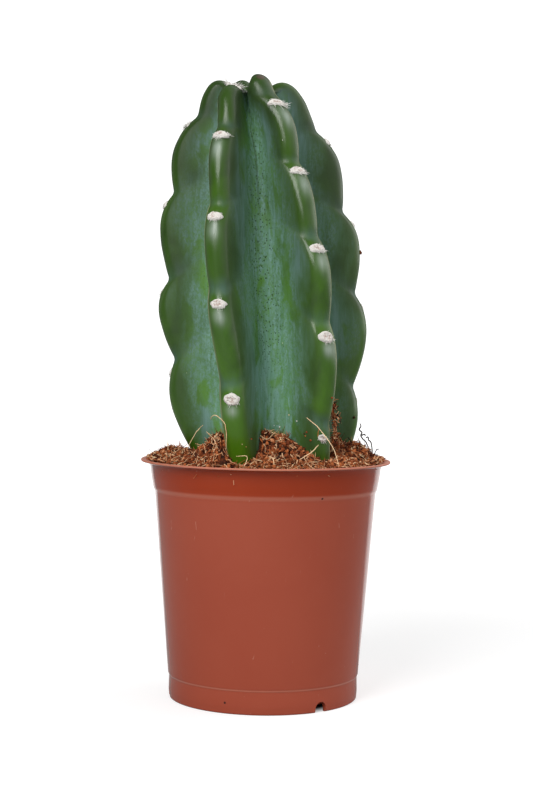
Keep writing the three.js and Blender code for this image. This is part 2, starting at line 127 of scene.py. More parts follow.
# Roots and straws: half width, tint from dark to straw, and the points that each runs through
STRAYS = (
    (0.16, 1.0, ((-37.5, -16, 120), (-33.5, -15, 127.4), (-30, -13, 131.6))),
    (0.2, 0.95, ((-26, -28, 135), (-25.2, -30, 136.4), (-23.4, -33, 137.2), (-21.2, -36, 135.9),
                  (-19.4, -38.5, 134.2), (-18.5, -39, 131.4), (-18.2, -39, 128), (-18.4, -38, 121))),
    (0.18, 0.85, ((-28, -24, 129), (-24.5, -29, 126), (-22, -33, 121.5))),
    (0.2, 1.1, ((18.6, -33, 136.7), (23.8, -35, 132.5), (27.5, -38, 128), (30.8, -42, 123.3),
                (33.3, -50, 116))),
    (0.16, 0.6, ((24.3, -34, 131.6), (24, -34, 128))),
    (0.22, 1.1, ((15.4, -44, 118), (20.6, -39, 120.7), (24.4, -34.5, 124.2))),
    (0.2, 1.0, ((1.4, -39, 119), (3.3, -42, 118), (4, -45, 114.5))),
    (0.16, 1.0, ((-13.6, -46, 119.3), (-8.5, -46.5, 119.1), (-9.8, -49, 114.5))),
    (0.35, -0.3, ((50, 0, 118), (48.6, 0, 123), (46.6, 0, 125.3), (45.8, 0, 126.8), (46.1, 0, 128.3),
                  (44.9, 0, 129.6), (45.6, 0, 131.2), (45.1, 0, 132.6))),
    (0.32, -0.3, ((45.6, 0, 126.6), (47.4, 0, 127.4), (48, 0, 126.6))),
    (0.33, -0.3, ((51.3, -4, 117.5), (50.5, -4, 123.4), (49.3, -4, 125), (48.8, -4, 126.4),
                  (47.9, -4, 125.7))),
    (0.24, -0.2, ((51.2, -8, 117), (52.7, -8, 120.2), (53, -8, 120.7), (54.3, -8, 121))),
    (0.26, -0.25, ((39.3, -6, 126), (40.3, -8, 124.5), (41.5, -10, 121))),
)
# Crumbs on the skin: rib, side, place and distance on the stem, size, tint
STUCK = (
    (1, -1, 1.55, 190, 0.35, 1.3), (1, -1, 1.1, 198.4, 0.65, 0.3), (1, -1, 1.0, 202.2, 0.6, 0.35),
    (1, -1, 1.13, 200.2, 0.4, 0.5), (1, -1, 1.16, 199.2, 0.45, 0.05), (1, -1, 1.25, 205.2, 0.5, 0.4),
    (0, 1, 1.05, 201.4, 0.45, 0.3), (0, 1, 0.6, 204.5, 0.3, 0.7), (0, 1, 0.35, 202.9, 0.25, 0.9),
    (2, -1, 0.9, 192.3, 0.8, 0.0), (2, -1, 0.37, 110.6, 1.6, 0.2), (1, 1, 0.3, 180.4, 0.6, 0.35),
    (1, 1, 0.6, 184.4, 0.7, 0.3),
)
# Grains of white grit on the skin, in the same order
GRIT = (
    (1, -1, 1.35, 193.1, 0.38, 0), (1, -1, 1.95, 195.4, 0.36, 0), (1, -1, 1.8, 196.1, 0.45, 0),
    (1, -1, 0.7, 57.9, 0.22, 0),
)

# ---- Stem, in millimetres -----------------------------------------------------------------------

STEM_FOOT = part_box("stem")[0][2] / MM
# A rib's crest and the valley beside it: distance from the axis and height, from the growing point, over
# the shoulder and down to the buried tip. The two lists run level with each other.
CREST = (
    (0, 287), (4.5, 290), (9, 294.5), (14.5, 297), (20, 295.5), (25, 290), (29.5, 282), (36, 270), (42, 255),
    (48.5, 224), (51, 186), (48.5, 150), (42.5, 124), (36, 103), (26, 87), (12, 79), (0, 77),
)
VALLEY = (
    (0, 287), (2.2, 286), (4.2, 284.3), (6.2, 281.5), (8.2, 277.5), (10.2, 272), (12, 265), (13.7, 257),
    (15.5, 245), (17.5, 220), (18.5, 186), (18.5, 150), (18, 125), (17, 103), (13, 87), (6, 79), (0, 77),
)
# The ribs, counter-clockwise from above. Crown and foot are the rib's angle from the front, curl bends it
# further near the foot, and areoles are distances down the crest. Reach stretches the rib from the axis, lift
# and pull shift its shoulder up and out, pinch draws it out below, nod turns its tip, head and thick scale
# its thickness at the crown and below, roll turns the line of areoles round the rounded crest, and calm is
# the share of its notches' depth that is left at the foot.
PLAIN = dict(curl=0, reach=1, lift=0, pull=0, pinch=0, nod=0, head=1, thick=1, roll=0, calm=1)
RIBS = [PLAIN | rib for rib in (
    dict(crown=-26, foot=-25.5, curl=5, areoles=(17, 57, 97, 137.5, 181.5), reach=0.97, lift=-4.2, nod=-8,
         head=0.95, roll=8, calm=0.3),
    dict(crown=33.5, foot=44, areoles=(39.5, 74, 111, 152, 200), reach=0.985, lift=1.6, pull=-3, pinch=-5,
         nod=-15, head=1.35, thick=0.98, roll=-15, calm=0.5),
    dict(crown=105, foot=104, areoles=(8, 55, 96.5, 137, 183.5), reach=1.04, lift=-1, pull=-0.2, roll=24),
    dict(crown=190, foot=192, areoles=(5, 44, 83, 124, 168), lift=1, pull=-1.5, nod=8),
    dict(crown=261, foot=266, areoles=(13, 47, 88.5, 131.5, 170.5), reach=0.965, lift=-0.5, pull=-0.6,
         pinch=1.5, roll=-30),
)]
# Half thickness of a rib at distances down its crest
THICKNESS = ((0, 4.8), (25, 5.2), (60, 5.7), (110, 6.2), (150, 6.7), (190, 6.7), (230, 6.2))
CROWN_HEIGHT = 297
CURL_FROM = 0.5  # shares of the way down to the soil
CURL_OVER = 0.3
SOIL_LINE = 118
SOIL_CREST = 214.0  # length of crest from the growing point to the soil
VISIBLE_CREST = 232  # and to well below it
LEAN = -9.5
LEAN_FOOT = 120
LEAN_SPAN = 175
PINCH_HEIGHT = 252
PINCH_SPREAD = 26
NOTCH_ABOVE = 6.5
NOTCH_ROUNDING = 1.5
LOBE_LENGTH = 40
LOBE_FULLEST = 0.4  # where between two notches a lobe is fullest
CREST_DEPTH = 5.7
SHALLOW = 0.35  # share of the notches' depth at the growing point
FULL_DEPTH_FROM = 95
PINCH_AT_NOTCH = 0.12
FURROW_RISE = 0.75
CAP_ANGLE = math.radians(74)
SWELLS = ((0.35, 14, 22, 1), (0.12, 4, 7, 2))  # of the skin: height, width, length, seed
STEM_ROWS, BURIED_ROWS = 390, 18
CREST_STEPS, FACE_STEPS = 9, 12
TIP_SCAR = (-4.7, -14.5, 295.6)  # a brown dab on the tip of one rib

OLDEST = 190  # distance down the crest of an areole of full age
AREOLE_WIDTH = (9.0, 7.6)  # of the youngest and the oldest
AREOLE_HEIGHT = (3.9, 5.9)
AREOLE_RISE = 1.1
AREOLE_DEPTH = 1.6  # below the skin
AREOLE_SADDLE = 9.0  # radius of the crest under it
AREOLE_RINGS, AREOLE_COLUMNS = 14, 40
FOOT_AREOLE = 0.62  # size of those below the oldest
HAIR_WIDTH = 0.16
FEWEST_HAIRS, YOUNG_HAIRS = 30, 70  # on each areole, and more of them on a young one
# Painted highlight: a pale patch on the crest under each areole, of the youngest and the oldest: distance
# below it and length
SPOT_FROM = 20  # areoles nearer the growing point have none
SPOT_BELOW = (8.5, 5.0)
SPOT_LENGTH = (6, 2.6)
SPOT_WIDTH = 0.32
# Painted reflection: a pale line along the rounded crests of two ribs, standing in for the white surroundings
# seen at a grazing angle: each rib and side, and its place on the way to the valley
RIM_REFLECTION_EDGES = {(0, -1): 0.80, (1, 1): 0.61}
RIM_REFLECTION_WIDTH = 0.08

# ---- Studio, in metres, watts and degrees -------------------------------------------------------

LENS = 77.13
SENSOR = 36
CAMERA_PLACE = (0, -0.825, 0.1754)
CAMERA_PITCH = 2.23  # downwards
CAMERA_ROLL = 0.76
LAMP_PLACE = (-0.51, -0.98, 0.92)
LAMP_TARGET = (0, 0, 0.2)
LAMP_SIZE = (0.65, 1.0)
LAMP_POWER = 16.5
BACKDROP_STRENGTH = 1.05
FLOOR_SIZE = 12.0  # from the middle to a side

# ---- Colours ------------------------------------------------------------------------------------

CREST_GREEN = (0.056, 0.155, 0.003, 1)
DEEP_GREEN = (0.022, 0.066, 0.005, 1)
BLOOM = (0.072, 0.150, 0.130, 1)
PALE_BLOOM = (0.165, 0.28, 0.245, 1)
PORE = (0.010, 0.030, 0.006, 1)
CREASE_SHADE = (0.012, 0.030, 0.010, 1)
SKIN_DUST = (0.42, 0.47, 0.33, 1)
SCAR = (0.135, 0.075, 0.045, 1)
SPOT_HIGHLIGHT = (0.31, 0.37, 0.32, 1)
RIM_REFLECTION = (0.30, 0.33, 0.18, 1)
FELT = (0.72, 0.69, 0.65, 1)
FELT_STAIN = (0.42, 0.32, 0.28, 1)
FELT_SPECK = (0.16, 0.10, 0.07, 1)
HAIR = ((0.70, 0.67, 0.62, 1), (0.84, 0.83, 0.80, 1))
COIR = (  # by tint, from near black to straw
    (0.0, (0.018, 0.007, 0.004, 1)), (0.3, (0.195, 0.044, 0.013, 1)),
    (0.65, (0.480, 0.140, 0.042, 1)), (1.0, (0.900, 0.640, 0.380, 1)),
)
SHADED_COLLAR_PLASTIC = ((0.280, 0.027, 0.002, 1), (0.300, 0.031, 0.003, 1))
WALL_PLASTIC = ((0.325, 0.058, 0.028, 1), (0.342, 0.065, 0.032, 1))
RIDGE_HIGHLIGHT_PLASTIC = (0.58, 0.20, 0.13, 1)
LIP_HIGHLIGHT_PLASTIC = (0.52, 0.19, 0.12, 1)
SCUFF = (0.52, 0.24, 0.17, 1)
PIN_MARK = (0.030, 0.010, 0.006, 1)
FLOOR_GREY = (0.45, 0.45, 0.45, 1)
WHITE = (1, 1, 1, 1)


# ---- Small tools --------------------------------------------------------------------------------


def smooth(x):
    """A smooth step from 0 to 1 while x goes from 0 to 1."""
    x = np.clip(x, 0, 1)
    return x * x * (3 - 2 * x)


def mix(a, b, share):
    return a + (b - a) * share


def unit(v):
    return v / np.linalg.norm(v, axis=-1, keepdims=True)


def turns(count):
    """Angles once round a circle."""
    return 2 * np.pi * np.arange(count) / count


def turned_rings(radius, height, count):
    """Rings about the axis, with a column of radii and one of heights: rings x count x 3."""
    turn = turns(count)
    return np.stack([radius * np.cos(turn), radius * np.sin(turn), height + 0 * turn], -1)


def spline(points, count):
    """A uniform Catmull-Rom curve through the points, at evenly spaced parameters."""
    p = np.asarray(points, float)
    p = np.vstack([2 * p[0] - p[1], p, 2 * p[-1] - p[-2]])
    spans = len(p) - 3
    t = np.linspace(0, spans, count)
    i = np.minimum(t.astype(int), spans - 1)
    f = (t - i)[:, None]
    a, b, c, d = p[i], p[i + 1], p[i + 2], p[i + 3]
    return 0.5 * (2 * b + (c - a) * f + (2 * a - 5 * b + 4 * c - d) * f**2 + (3 * b - a - 3 * c + d) * f**3)


def lattice_noise(x, y, z, seed):
    """Smooth noise from -1 to 1: random values on a unit lattice, joined by smooth steps."""
    table = np.random.default_rng(seed).uniform(-1, 1, 4096)
    cell = [np.floor(v).astype(np.int64) for v in (x, y, z)]
    share = [smooth(v - c) for v, c in zip((x, y, z), cell)]

    def corner(i, j, k):
        return table[((cell[0] + i) * 73 + (cell[1] + j) * 179 + (cell[2] + k) * 283) % 4096]

    faces = [mix(mix(corner(0, 0, k), corner(1, 0, k), share[0]),
                 mix(corner(0, 1, k), corner(1, 1, k), share[0]), share[1]) for k in (0, 1)]
    return mix(faces[0], faces[1], share[2])


def put(name, data):
    """An object for a mesh, a lamp or the camera, in the scene."""
    made = bpy.data.objects.new(name, data)
    bpy.context.scene.collection.objects.link(made)
    return made


def make_mesh(name, points, quads, triangles, values=None):
    """An object from points in millimetres and arrays of quads and triangles, with named point values."""
    mesh = bpy.data.meshes.new(name)
    mesh.vertices.add(len(points))
    mesh.vertices.foreach_set("co", (np.asarray(points) * MM).astype(np.float32).ravel())
    corners = np.concatenate([quads.ravel(), triangles.ravel()]).astype(np.int32)
    mesh.loops.add(len(corners))
    mesh.loops.foreach_set("vertex_index", corners)
    starts = np.concatenate([4 * np.arange(len(quads)), 4 * len(quads) + 3 * np.arange(len(triangles))])
    mesh.polygons.add(len(starts))
    mesh.polygons.foreach_set("loop_start", starts.astype(np.int32))
    mesh.update(calc_edges=True)
    mesh.polygons.foreach_set("use_smooth", np.ones(len(starts), bool))
    for label, value in (values or {}).items():
        data = mesh.attributes.new(label, "FLOAT", "POINT").data
        data.foreach_set("value", np.ravel(value).astype(np.float32))
    return put(name, mesh)


def ring_faces(rings, count):
    """
    Quads between rings of points, and the triangles that close both ends round a pole. The rings run
    counter-clockwise from above, downwards, and the last two points are the upper and the lower pole.
    """
    k = np.arange(count)
    nxt = (k + 1) % count
    r = np.arange(rings - 1)[:, None] * count
    quads = np.stack([r + k, r + count + k, r + count + nxt, r + nxt], -1)
    last = (rings - 1) * count
    pole = np.full(count, rings * count)
    caps = np.concatenate([np.stack([pole, k, nxt], -1), np.stack([last + nxt, last + k, pole + 1], -1)])
    return quads.reshape(-1, 4), caps


def closed_surface(name, grid, top, bottom, values=None):
    """A grid of rings, as ring_faces takes them, closed by a pole at each end, with values on the grid."""
    points = np.vstack([grid.reshape(-1, 3), top, bottom])
    flat = {label: np.ravel(value) for label, value in (values or {}).items()}
    values = {label: np.append(value, [value[0], value[-1]]) for label, value in flat.items()}
    return make_mesh(name, points, *ring_faces(*grid.shape[:2]), values)


def repeated(points, rings, count):
    """Points and faces of many closed surfaces of the same build. Points is forms x points x 3."""
    forms, size = points.shape[:2]
    offsets = size * np.arange(forms)[:, None, None]
    quads, triangles = ring_faces(rings, count)
    return points.reshape(-1, 3), (quads + offsets).reshape(-1, 4), (triangles + offsets).reshape(-1, 3)


def strands(centres, widths, across, sides, tint=None):
    """
    Closed tapering fibres. Centres is fibres x rings x 3, widths is fibres x rings x 2 (half width and half
    thickness) and across is a direction for each fibre. A section is an ellipse of few sides, and each end
    is closed by a point half a width beyond the last ring.
    """
    fibres, rings = centres.shape[:2]
    along = unit(np.gradient(centres, axis=1))
    side = unit(np.cross(along, across[:, None, :]))
    flat = np.cross(side, along)
    turn = turns(sides)
    ring = (side[:, :, None] * (np.cos(turn)[None, None, :, None] * widths[:, :, None, :1])
            + flat[:, :, None] * (np.sin(turn)[None, None, :, None] * widths[:, :, None, 1:]))
    body = (centres[:, :, None] + ring).reshape(fibres, rings * sides, 3)
    start = centres[:, :1] - along[:, :1] * widths[:, :1, :1] * 0.5
    end = centres[:, -1:] + along[:, -1:] * widths[:, -1:, :1] * 0.5
    points = np.concatenate([body, start, end], 1)
    values = {} if tint is None else dict(tint=np.repeat(tint, points.shape[1]))
    return *repeated(points, rings, sides), values


def dress(piece, material, slot, *nodes):
    """Gives a piece its material and its body, and hides the CAD nodes it stands for. Its slot is not used.
    """
    piece.data.materials.append(material)
    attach(piece, "root")
    if nodes:
        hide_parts(*nodes)


# ---- Stem ---------------------------------------------------------------------------------------

CREST_LINE = spline(CREST, 3000)
VALLEY_LINE = spline(VALLEY, 3000)
CREST_LENGTH = np.append(0, np.cumsum(np.linalg.norm(np.diff(CREST_LINE, axis=0), axis=1)))


def lean_at(height):
    return LEAN * np.clip((height - LEAN_FOOT) / LEAN_SPAN, -0.3, 1.1)


def lobe_fullness(distance, areoles):
    """1 along the fullest line of a lobe and near 0 in the rounded notches over the areoles."""
    shifts = NOTCH_ROUNDING * np.array([-1, -0.5, 0, 0.5, 1])
    return np.mean([sharp_lobes(distance + shift, areoles) for shift in shifts], axis=0)


def sharp_lobes(distance, areoles):
    places = np.array(areoles, float)
    lengths = np.diff(np.append(0, places))
    notches = places - NOTCH_ABOVE * np.clip(lengths / LOBE_LENGTH, 0.2, 1)
    edges = np.concatenate([[-notches[0]], notches, [notches[-1] + 1.4 * LOBE_LENGTH]])
    i = np.clip(np.searchsorted(edges, distance, side="right") - 1, 0, len(edges) - 2)
    share = np.clip((distance - edges[i]) / (edges[i + 1] - edges[i]), 0, 1)
    rise = np.clip(1 - share / LOBE_FULLEST, 0, 1) ** 2.2
    fall = np.clip((share - LOBE_FULLEST) / (1 - LOBE_FULLEST), 0, 1) ** 1.6
    return 1 - rise - fall


def along_line(line, index):
    return np.stack([np.interp(index, np.arange(len(line)), line[:, k]) for k in (0, 1)], -1)


def stem_rows(distance):
    """What is the same for every rib, at distances down the crest."""
    index = np.interp(distance, CREST_LENGTH, np.arange(len(CREST_LINE)))
    crest = along_line(CREST_LINE, index)
    valley = along_line(VALLEY_LINE, index)
    down = unit(along_line(CREST_LINE, index + 4) - along_line(CREST_LINE, index - 4))
    crest[:, 0] = np.maximum(crest[:, 0], 0)
    valley[:, 0] = np.maximum(valley[:, 0], 0)
    below_crown = CROWN_HEIGHT - np.minimum(crest[:, 1], CROWN_HEIGHT)
    deepening = mix(SHALLOW, 1, smooth(distance / FULL_DEPTH_FROM))
    return dict(
        distance=distance,
        crest=crest,
        valley=valley,
        outward=np.stack([-down[:, 1], down[:, 0]], -1),
        age=np.clip((CROWN_HEIGHT - crest[:, 1]) / (CROWN_HEIGHT - SOIL_LINE), 0, 1),
        crown=np.exp(-((below_crown / 14) ** 2)) * smooth(distance / 18),
        thickness=np.interp(distance, *np.transpose(THICKNESS)),
        relief=deepening * smooth(crest[:, 0] / 18) * smooth((crest[:, 1] - 88) / 24),
    )


def rib_angle(rib, rows):
    bend = rib["curl"] * smooth((rows["age"] - CURL_FROM) / CURL_OVER) + rib["nod"] * rows["crown"]
    return np.radians(mix(rib["crown"], rib["foot"], rows["age"]) + bend)


def rib_roll(rib, rows):
    return np.radians(rib["roll"] * mix(0.3, 1.4, rows["age"]))


def half_angle(index, rows, side):
    """Half the angle from a rib to the next one on a side."""
    turned = side * (rib_angle(RIBS[(index + side) % len(RIBS)], rows) - rib_angle(RIBS[index], rows))
    return np.where(turned < 0, turned + 2 * np.pi, turned) / 2


def crest_reach(rib, rows):
    """Distance of a rib's crest from the axis: the common line stretched, pulled out above and pinched."""
    radius, height = rows["crest"].T
    out = radius * (1 + (rib["reach"] - 1) * smooth((radius - 6) / 25))
    out = out + rib["pull"] * rows["crown"] * smooth(radius / 12)
    out = out + rib["pinch"] * np.exp(-(((height - PINCH_HEIGHT) / PINCH_SPREAD) ** 2))
    return np.maximum(out, 0)


def rib_face(u, w, z, turn, beta, rows, share):
    """
    A point on a rib's face: a share of the way along a Bezier curve that leaves the end of the rounded crest
    (u outwards, w across, z) along its tangent and ends in the valley. Also the length of the curve's chord.
    """
    valley_radius, valley_height = rows["valley"].T
    end_u, end_w = valley_radius * np.cos(beta), valley_radius * np.sin(beta)
    length = np.hypot(u - end_u, w - end_w)
    bend = np.minimum(0.25 * length, 0.45 * valley_radius)
    first_u = u - 0.35 * length * np.sin(turn) * rows["outward"][:, 0]
    first_w = w + 0.35 * length * np.cos(turn)
    second_u = end_u + bend * (0.85 * np.sin(beta) + 0.15)
    second_w = end_w - 0.85 * bend * np.cos(beta)
    rest = 1 - share
    weights = (rest**3, 3 * rest**2 * share, 3 * rest * share**2, share**3)
    u = sum(weight * value for weight, value in zip(weights, (u, first_u, second_u, end_u)))
    w = sum(weight * value for weight, value in zip(weights, (w, first_w, second_w, end_w)))
    return u, w, mix(z, valley_height, smooth(share)), length


def stem_column(index, rows, side, place):
    """
    One column of the stem's grid, down a rib. Place runs from 0 on the crest over 1, where the rounded crest
    ends, to 2 in the valley. The section of half a rib is an arc, then a Bezier curve to the valley. Lobes
    push it outwards between the notches, whose furrows climb towards the valley.
    """
    rib = RIBS[index]
    beta = half_angle(index, rows, side)
    out = crest_reach(rib, rows)
    half = rows["thickness"] * mix(rib["thick"], rib["head"], rows["crown"])
    half = np.minimum(half, 0.75 * out * np.tan(np.minimum(beta, 1.2)))

    turn = mix(side * rib_roll(rib, rows), CAP_ANGLE, min(place, 1))
    normal_u, normal_z = rows["outward"].T
    sunk = half * (1 - np.cos(turn))
    u = out - sunk * normal_u
    w = half * np.sin(turn)
    z = rows["crest"][:, 1] + rib["lift"] * rows["crown"] - sunk * normal_z
    share = max(place - 1, 0)
    if share > 0:
        u, w, z, length = rib_face(u, w, z, turn, beta, rows, share)
        sunk = sunk + share * length

    lobe = lobe_fullness(rows["distance"] + FURROW_RISE * np.maximum(sunk - 1.5, 0), rib["areoles"])
    hollow = (1 - lobe) * rows["relief"] * mix(1, rib["calm"], rows["age"])
    inward = CREST_DEPTH * hollow * (1 - smooth(1.1 * share))
    u = u - inward * normal_u
    w = w * (1 - PINCH_AT_NOTCH * hollow * (1 - smooth(share)))
    z = z - inward * normal_z
    angle = rib_angle(rib, rows)
    x = u * np.sin(angle) + side * w * np.cos(angle) + lean_at(z)
    y = -u * np.cos(angle) + side * w * np.sin(angle)
    return np.stack([x, y, z], -1), lobe


def on_stem(index, side, place, distance):
    points, _ = stem_column(index, stem_rows(np.array([distance])), side, place)
    return points[0]


def painted_rim_reflection(index, side, place):
    """1 along the painted pale line of reflection beside a crest, falling to 0 on both sides of it."""
    line = RIM_REFLECTION_EDGES.get((index, side), 9.0)
    return math.exp(-(((place - line) / RIM_REFLECTION_WIDTH) ** 2))


def painted_highlight_spots(distances, areoles, place):
    """1 in the middle of the painted highlight under each areole, falling to 0 round it."""
    areoles = np.array([areole for areole in areoles if SPOT_FROM < areole < OLDEST])
    age = areoles / OLDEST
    below = distances[:, None] - areoles - mix(*SPOT_BELOW, age)
    along = np.exp(-((below / mix(*SPOT_LENGTH, age)) ** 2)).max(axis=1)
    return along * math.exp(-((place / SPOT_WIDTH) ** 2))


def stem_grid(distances, cap_steps, face_steps):
    """The grid's points, and each one's place from crest to valley, its lobe's fullness, its painted rim
    reflection and its painted highlight.
    """
    rows = stem_rows(distances)
    places = np.append(np.arange(cap_steps) / cap_steps, 1 + np.arange(face_steps + 1) / face_steps)
    columns = []
    for index, rib in enumerate(RIBS):
        for side, order in ((-1, places[:0:-1]), (1, places[:-1])):
            for place in order:
                points, lobe = stem_column(index, rows, side, place)
                where = np.full(len(distances), place)
                edge = np.full(len(distances), painted_rim_reflection(index, side, place))
                columns.append((points, where, lobe, edge, painted_highlight_spots(distances, rib["areoles"], place)))
    return [np.stack(values, 1) for values in zip(*columns)]


def make_stem(material):
    """The whole stem as one closed grid, with a slight unevenness that no living skin is without."""
    above = np.linspace(0.3, VISIBLE_CREST, STEM_ROWS)
    buried = np.linspace(VISIBLE_CREST, CREST_LENGTH[-1], BURIED_ROWS)[1:-1]
    distances = np.append(above, buried)
    grid, where, lobes, edges, highlight_spots = stem_grid(distances, CREST_STEPS, FACE_STEPS)
    x, y, z = np.moveaxis(grid, -1, 0)
    centre = np.stack([lean_at(z), np.zeros_like(z), z], -1)
    outward = unit(grid - centre + [0, 0, 1e-6])
    swell = sum(rise * lattice_noise(x / wide, y / wide, z / long, seed) for rise, wide, long, seed in SWELLS)
    grid = grid + outward * (swell * smooth(distances / 40)[:, None])[..., None]
    top = [lean_at(CREST[0][1]), 0, CREST[0][1]]
    bottom = [lean_at(STEM_FOOT), 0, STEM_FOOT]
    down = np.repeat(distances[:, None], grid.shape[1], 1)
    values = dict(valley=where / 2, lobe=lobes, down=down, edge=edges, spot=highlight_spots)
    dress(closed_surface("cactus_stem", grid, top, bottom, values), material, "plant_skin", "stem")


# ---- Areoles ------------------------------------------------------------------------------------


def areole_frames():
    """Each areole's place, directions across the rib, up it and outwards, age from 0 to 1, and size."""
    frames = []
    for index, rib in enumerate(RIBS):
        for distance in rib["areoles"]:
            rows = stem_rows(np.array([distance - 1.5, distance]))
            (above, here), _ = stem_column(index, rows, 1, 0)
            angle = (rib_angle(rib, rows) + rib_roll(rib, rows))[1]
            across = np.array([math.cos(angle), math.sin(angle), 0])
            up = unit(above - here)
            age = float(smooth(distance / OLDEST))
            size = np.array([mix(*AREOLE_WIDTH, age), mix(*AREOLE_HEIGHT, age)]) / 2
            if distance > OLDEST:
                size = size * FOOT_AREOLE
            frames.append((here, across, up, np.cross(across, up), age, size))
    return [frame for frame in frames if frame[0][2] - 4 > soil_height(*frame[0][:2])]


def make_areoles(material):
    """
    Felted cushions: ovals of woolly relief, highest near the middle, with a ragged edge, sunk a little into
    the crest. The radius runs from the middle of the top, over the edge and back under the skin.
    """
    rings, count = AREOLE_RINGS, AREOLE_COLUMNS
    turn = turns(count)
    radius = np.linspace(0.08, 1, rings)[:, None]
    cushions = []
    for number, (here, across, up, outward, _, size) in enumerate(areole_frames()):
        shape = rng.uniform(0.93, 1.07, 2) * size
        ragged = 1 + 0.10 * lattice_noise(3 * np.cos(turn), 3 * np.sin(turn), np.full(count, number * 1.7), 3)
        a = shape[0] * radius * np.cos(turn) * ragged
        b = shape[1] * radius * np.sin(turn) * ragged
        wool = lattice_noise(a * 1.6, b * 1.6, np.full_like(a, number * 5.3), 4)
        fine = lattice_noise(a * 4.5, b * 4.5, np.full_like(a, number * 3.1), 5)
        dome = AREOLE_RISE * (0.55 + 1.35 * radius**2 - 1.9 * radius**5) - 0.9 * radius**6
        height = dome + (0.28 * wool + 0.16 * fine) * (1 - radius**4)
        saddle = -(a**2) / (2 * AREOLE_SADDLE)
        grid = here + a[..., None] * across + b[..., None] * up + (height + saddle)[..., None] * outward
        top = here + (AREOLE_RISE * 0.85) * outward
        cushions.append(np.vstack([grid.reshape(-1, 3), top, here - AREOLE_DEPTH * outward]))
    middle = np.append(np.repeat(1 - radius.ravel(), count), [1, 0])
    values = dict(middle=np.tile(middle, len(cushions)))
    wool = make_mesh("areole_wool", *repeated(np.array(cushions), rings, count), values)
    dress(wool, material, "plant_skin")


def make_hairs(material):
    """Short white hairs that stand out round each cushion's edge, longer and denser near the crown."""
    hairs = []
    for here, across, up, outward, age, (half_width, half_height) in areole_frames():
        young = 1 - smooth(1.6 * age)
        count = int(FEWEST_HAIRS + YOUNG_HAIRS * young)
        turn = rng.normal(-0.6, 0.9, count)
        turn = np.where(rng.uniform(0, 1, count) < 0.35, rng.uniform(0, 2 * np.pi, count), turn)
        inner = rng.uniform(0.5, 0.97, count)
        a = half_width * inner * np.cos(turn)
        b = half_height * inner * np.sin(turn)
        height = 0.2 - a[:, None] ** 2 / (2 * AREOLE_SADDLE)
        start = here + a[:, None] * across + b[:, None] * up + height * outward
        lead = (np.cos(turn) * rng.uniform(0.5, 1.3, count))[:, None] * across
        lead = lead + (np.sin(turn) * rng.uniform(0.5, 1.3, count))[:, None] * up
        lead = lead + rng.uniform(0.1, 0.5, count)[:, None] * outward + rng.normal(0, 0.2, (count, 3))
        lower = smooth(0.4 - 0.7 * np.sin(turn) + 0.3 * np.cos(turn))
        hanging = (0.7 + 2.3 * young) * lower * rng.uniform(0, 1, count) ** 1.5
        length = rng.uniform(0.4, 0.9, count) + hanging
        bend = rng.normal(0, 0.35, (count, 3)) - [0, 0, 0.35]
        hairs.append((start, unit(lead), length, bend))
    start, lead, length, bend = [np.concatenate(values) for values in zip(*hairs)]
    t = np.linspace(0, 1, 4)[None, :, None]
    centres = start[:, None] + (lead[:, None] * t + bend[:, None] * t**2 * 0.6) * length[:, None, None]
    width = np.tile(HAIR_WIDTH * (1 - 0.75 * t), (len(start), 1, 2))
    across = unit(np.cross(lead, [0.3, 0.2, 1.0]))
    dress(make_mesh("areole_hairs", *strands(centres, width, across, 3)), material, "plant_skin")


# ---- Potting mix --------------------------------------------------------------------------------


def soil_height(x, y):
    """Even slope up towards the stem, with heaps."""
    distance = np.hypot(x, y)
    height = SOIL_EDGE + SOIL_SLOPE * np.maximum(SOIL_LEVEL - distance, 0)
    for angle, out, rise, spread in HEAPS:
        dx = x - out * math.sin(math.radians(angle))
        dy = y + out * math.cos(math.radians(angle))
        height = height + rise * np.exp(-(dx**2 + dy**2) / spread**2)
    return height


def wall_radius(height):
    """Outer radius of the tapered wall between the foot band and the step."""
    return mix(WALL_FOOT_RADIUS, WALL_TOP_RADIUS, (height - BAND_HEIGHT) / (STEP_HEIGHT - BAND_HEIGHT))


def inside_radius(height):
    """Inner radius of the pot at a height."""
    heights = (FLOOR_TOP, STEP_HEIGHT - 2, STEP_HEIGHT + 1, POT_HEIGHT - LIP)
    radii = (wall_radius(heights[0]) - WALL - 0.6, wall_radius(heights[1]) - WALL, COLLAR_RADIUS - WALL,
             COLLAR_TOP_RADIUS - WALL)
    return np.interp(height, heights, radii)


def make_soil_bed(material):
    """The body of the mix: a bumpy top, a side that follows the pot, and a flat underside."""
    edge = inside_radius(SOIL_EDGE) - SOIL_GAP
    radii = edge * np.linspace(0.01, 1, SOIL_RINGS)[:, None]
    x, y, _ = np.moveaxis(turned_rings(radii, 0 * radii, SOIL_COLUMNS), -1, 0)
    lumps = sum(rise * lattice_noise(x / wide, y / wide, 0 * x, seed) for rise, wide, seed in LUMPS)
    z = soil_height(x, y) - 1.0 + lumps * smooth((edge - radii) / 3)
    top = np.stack([x, y, z], -1)
    heights = np.linspace(SOIL_EDGE - 2.5, SOIL_FOOT, SOIL_SIDE_RINGS)[:, None]
    side = turned_rings(inside_radius(heights) - SOIL_GAP, heights, SOIL_COLUMNS)
    middle = [0, 0, z[0].mean()]
    bed = closed_surface("soil_bed", np.concatenate([top, side]), middle, [0, 0, SOIL_FOOT])
    dress(bed, material, "potting_mix", "soil")


def stem_outline():
    """The stem's radius about its own axis at the soil, as sorted angles and radii."""
    grid = stem_grid(np.array([SOIL_CREST]), 6, 8)[0]
    x = grid[0, :, 0] - lean_at(SOIL_LINE)
    y = grid[0, :, 1]
    angle, radius = np.arctan2(y, x), np.hypot(x, y)
    order = np.argsort(angle)
    return angle[order], radius[order]


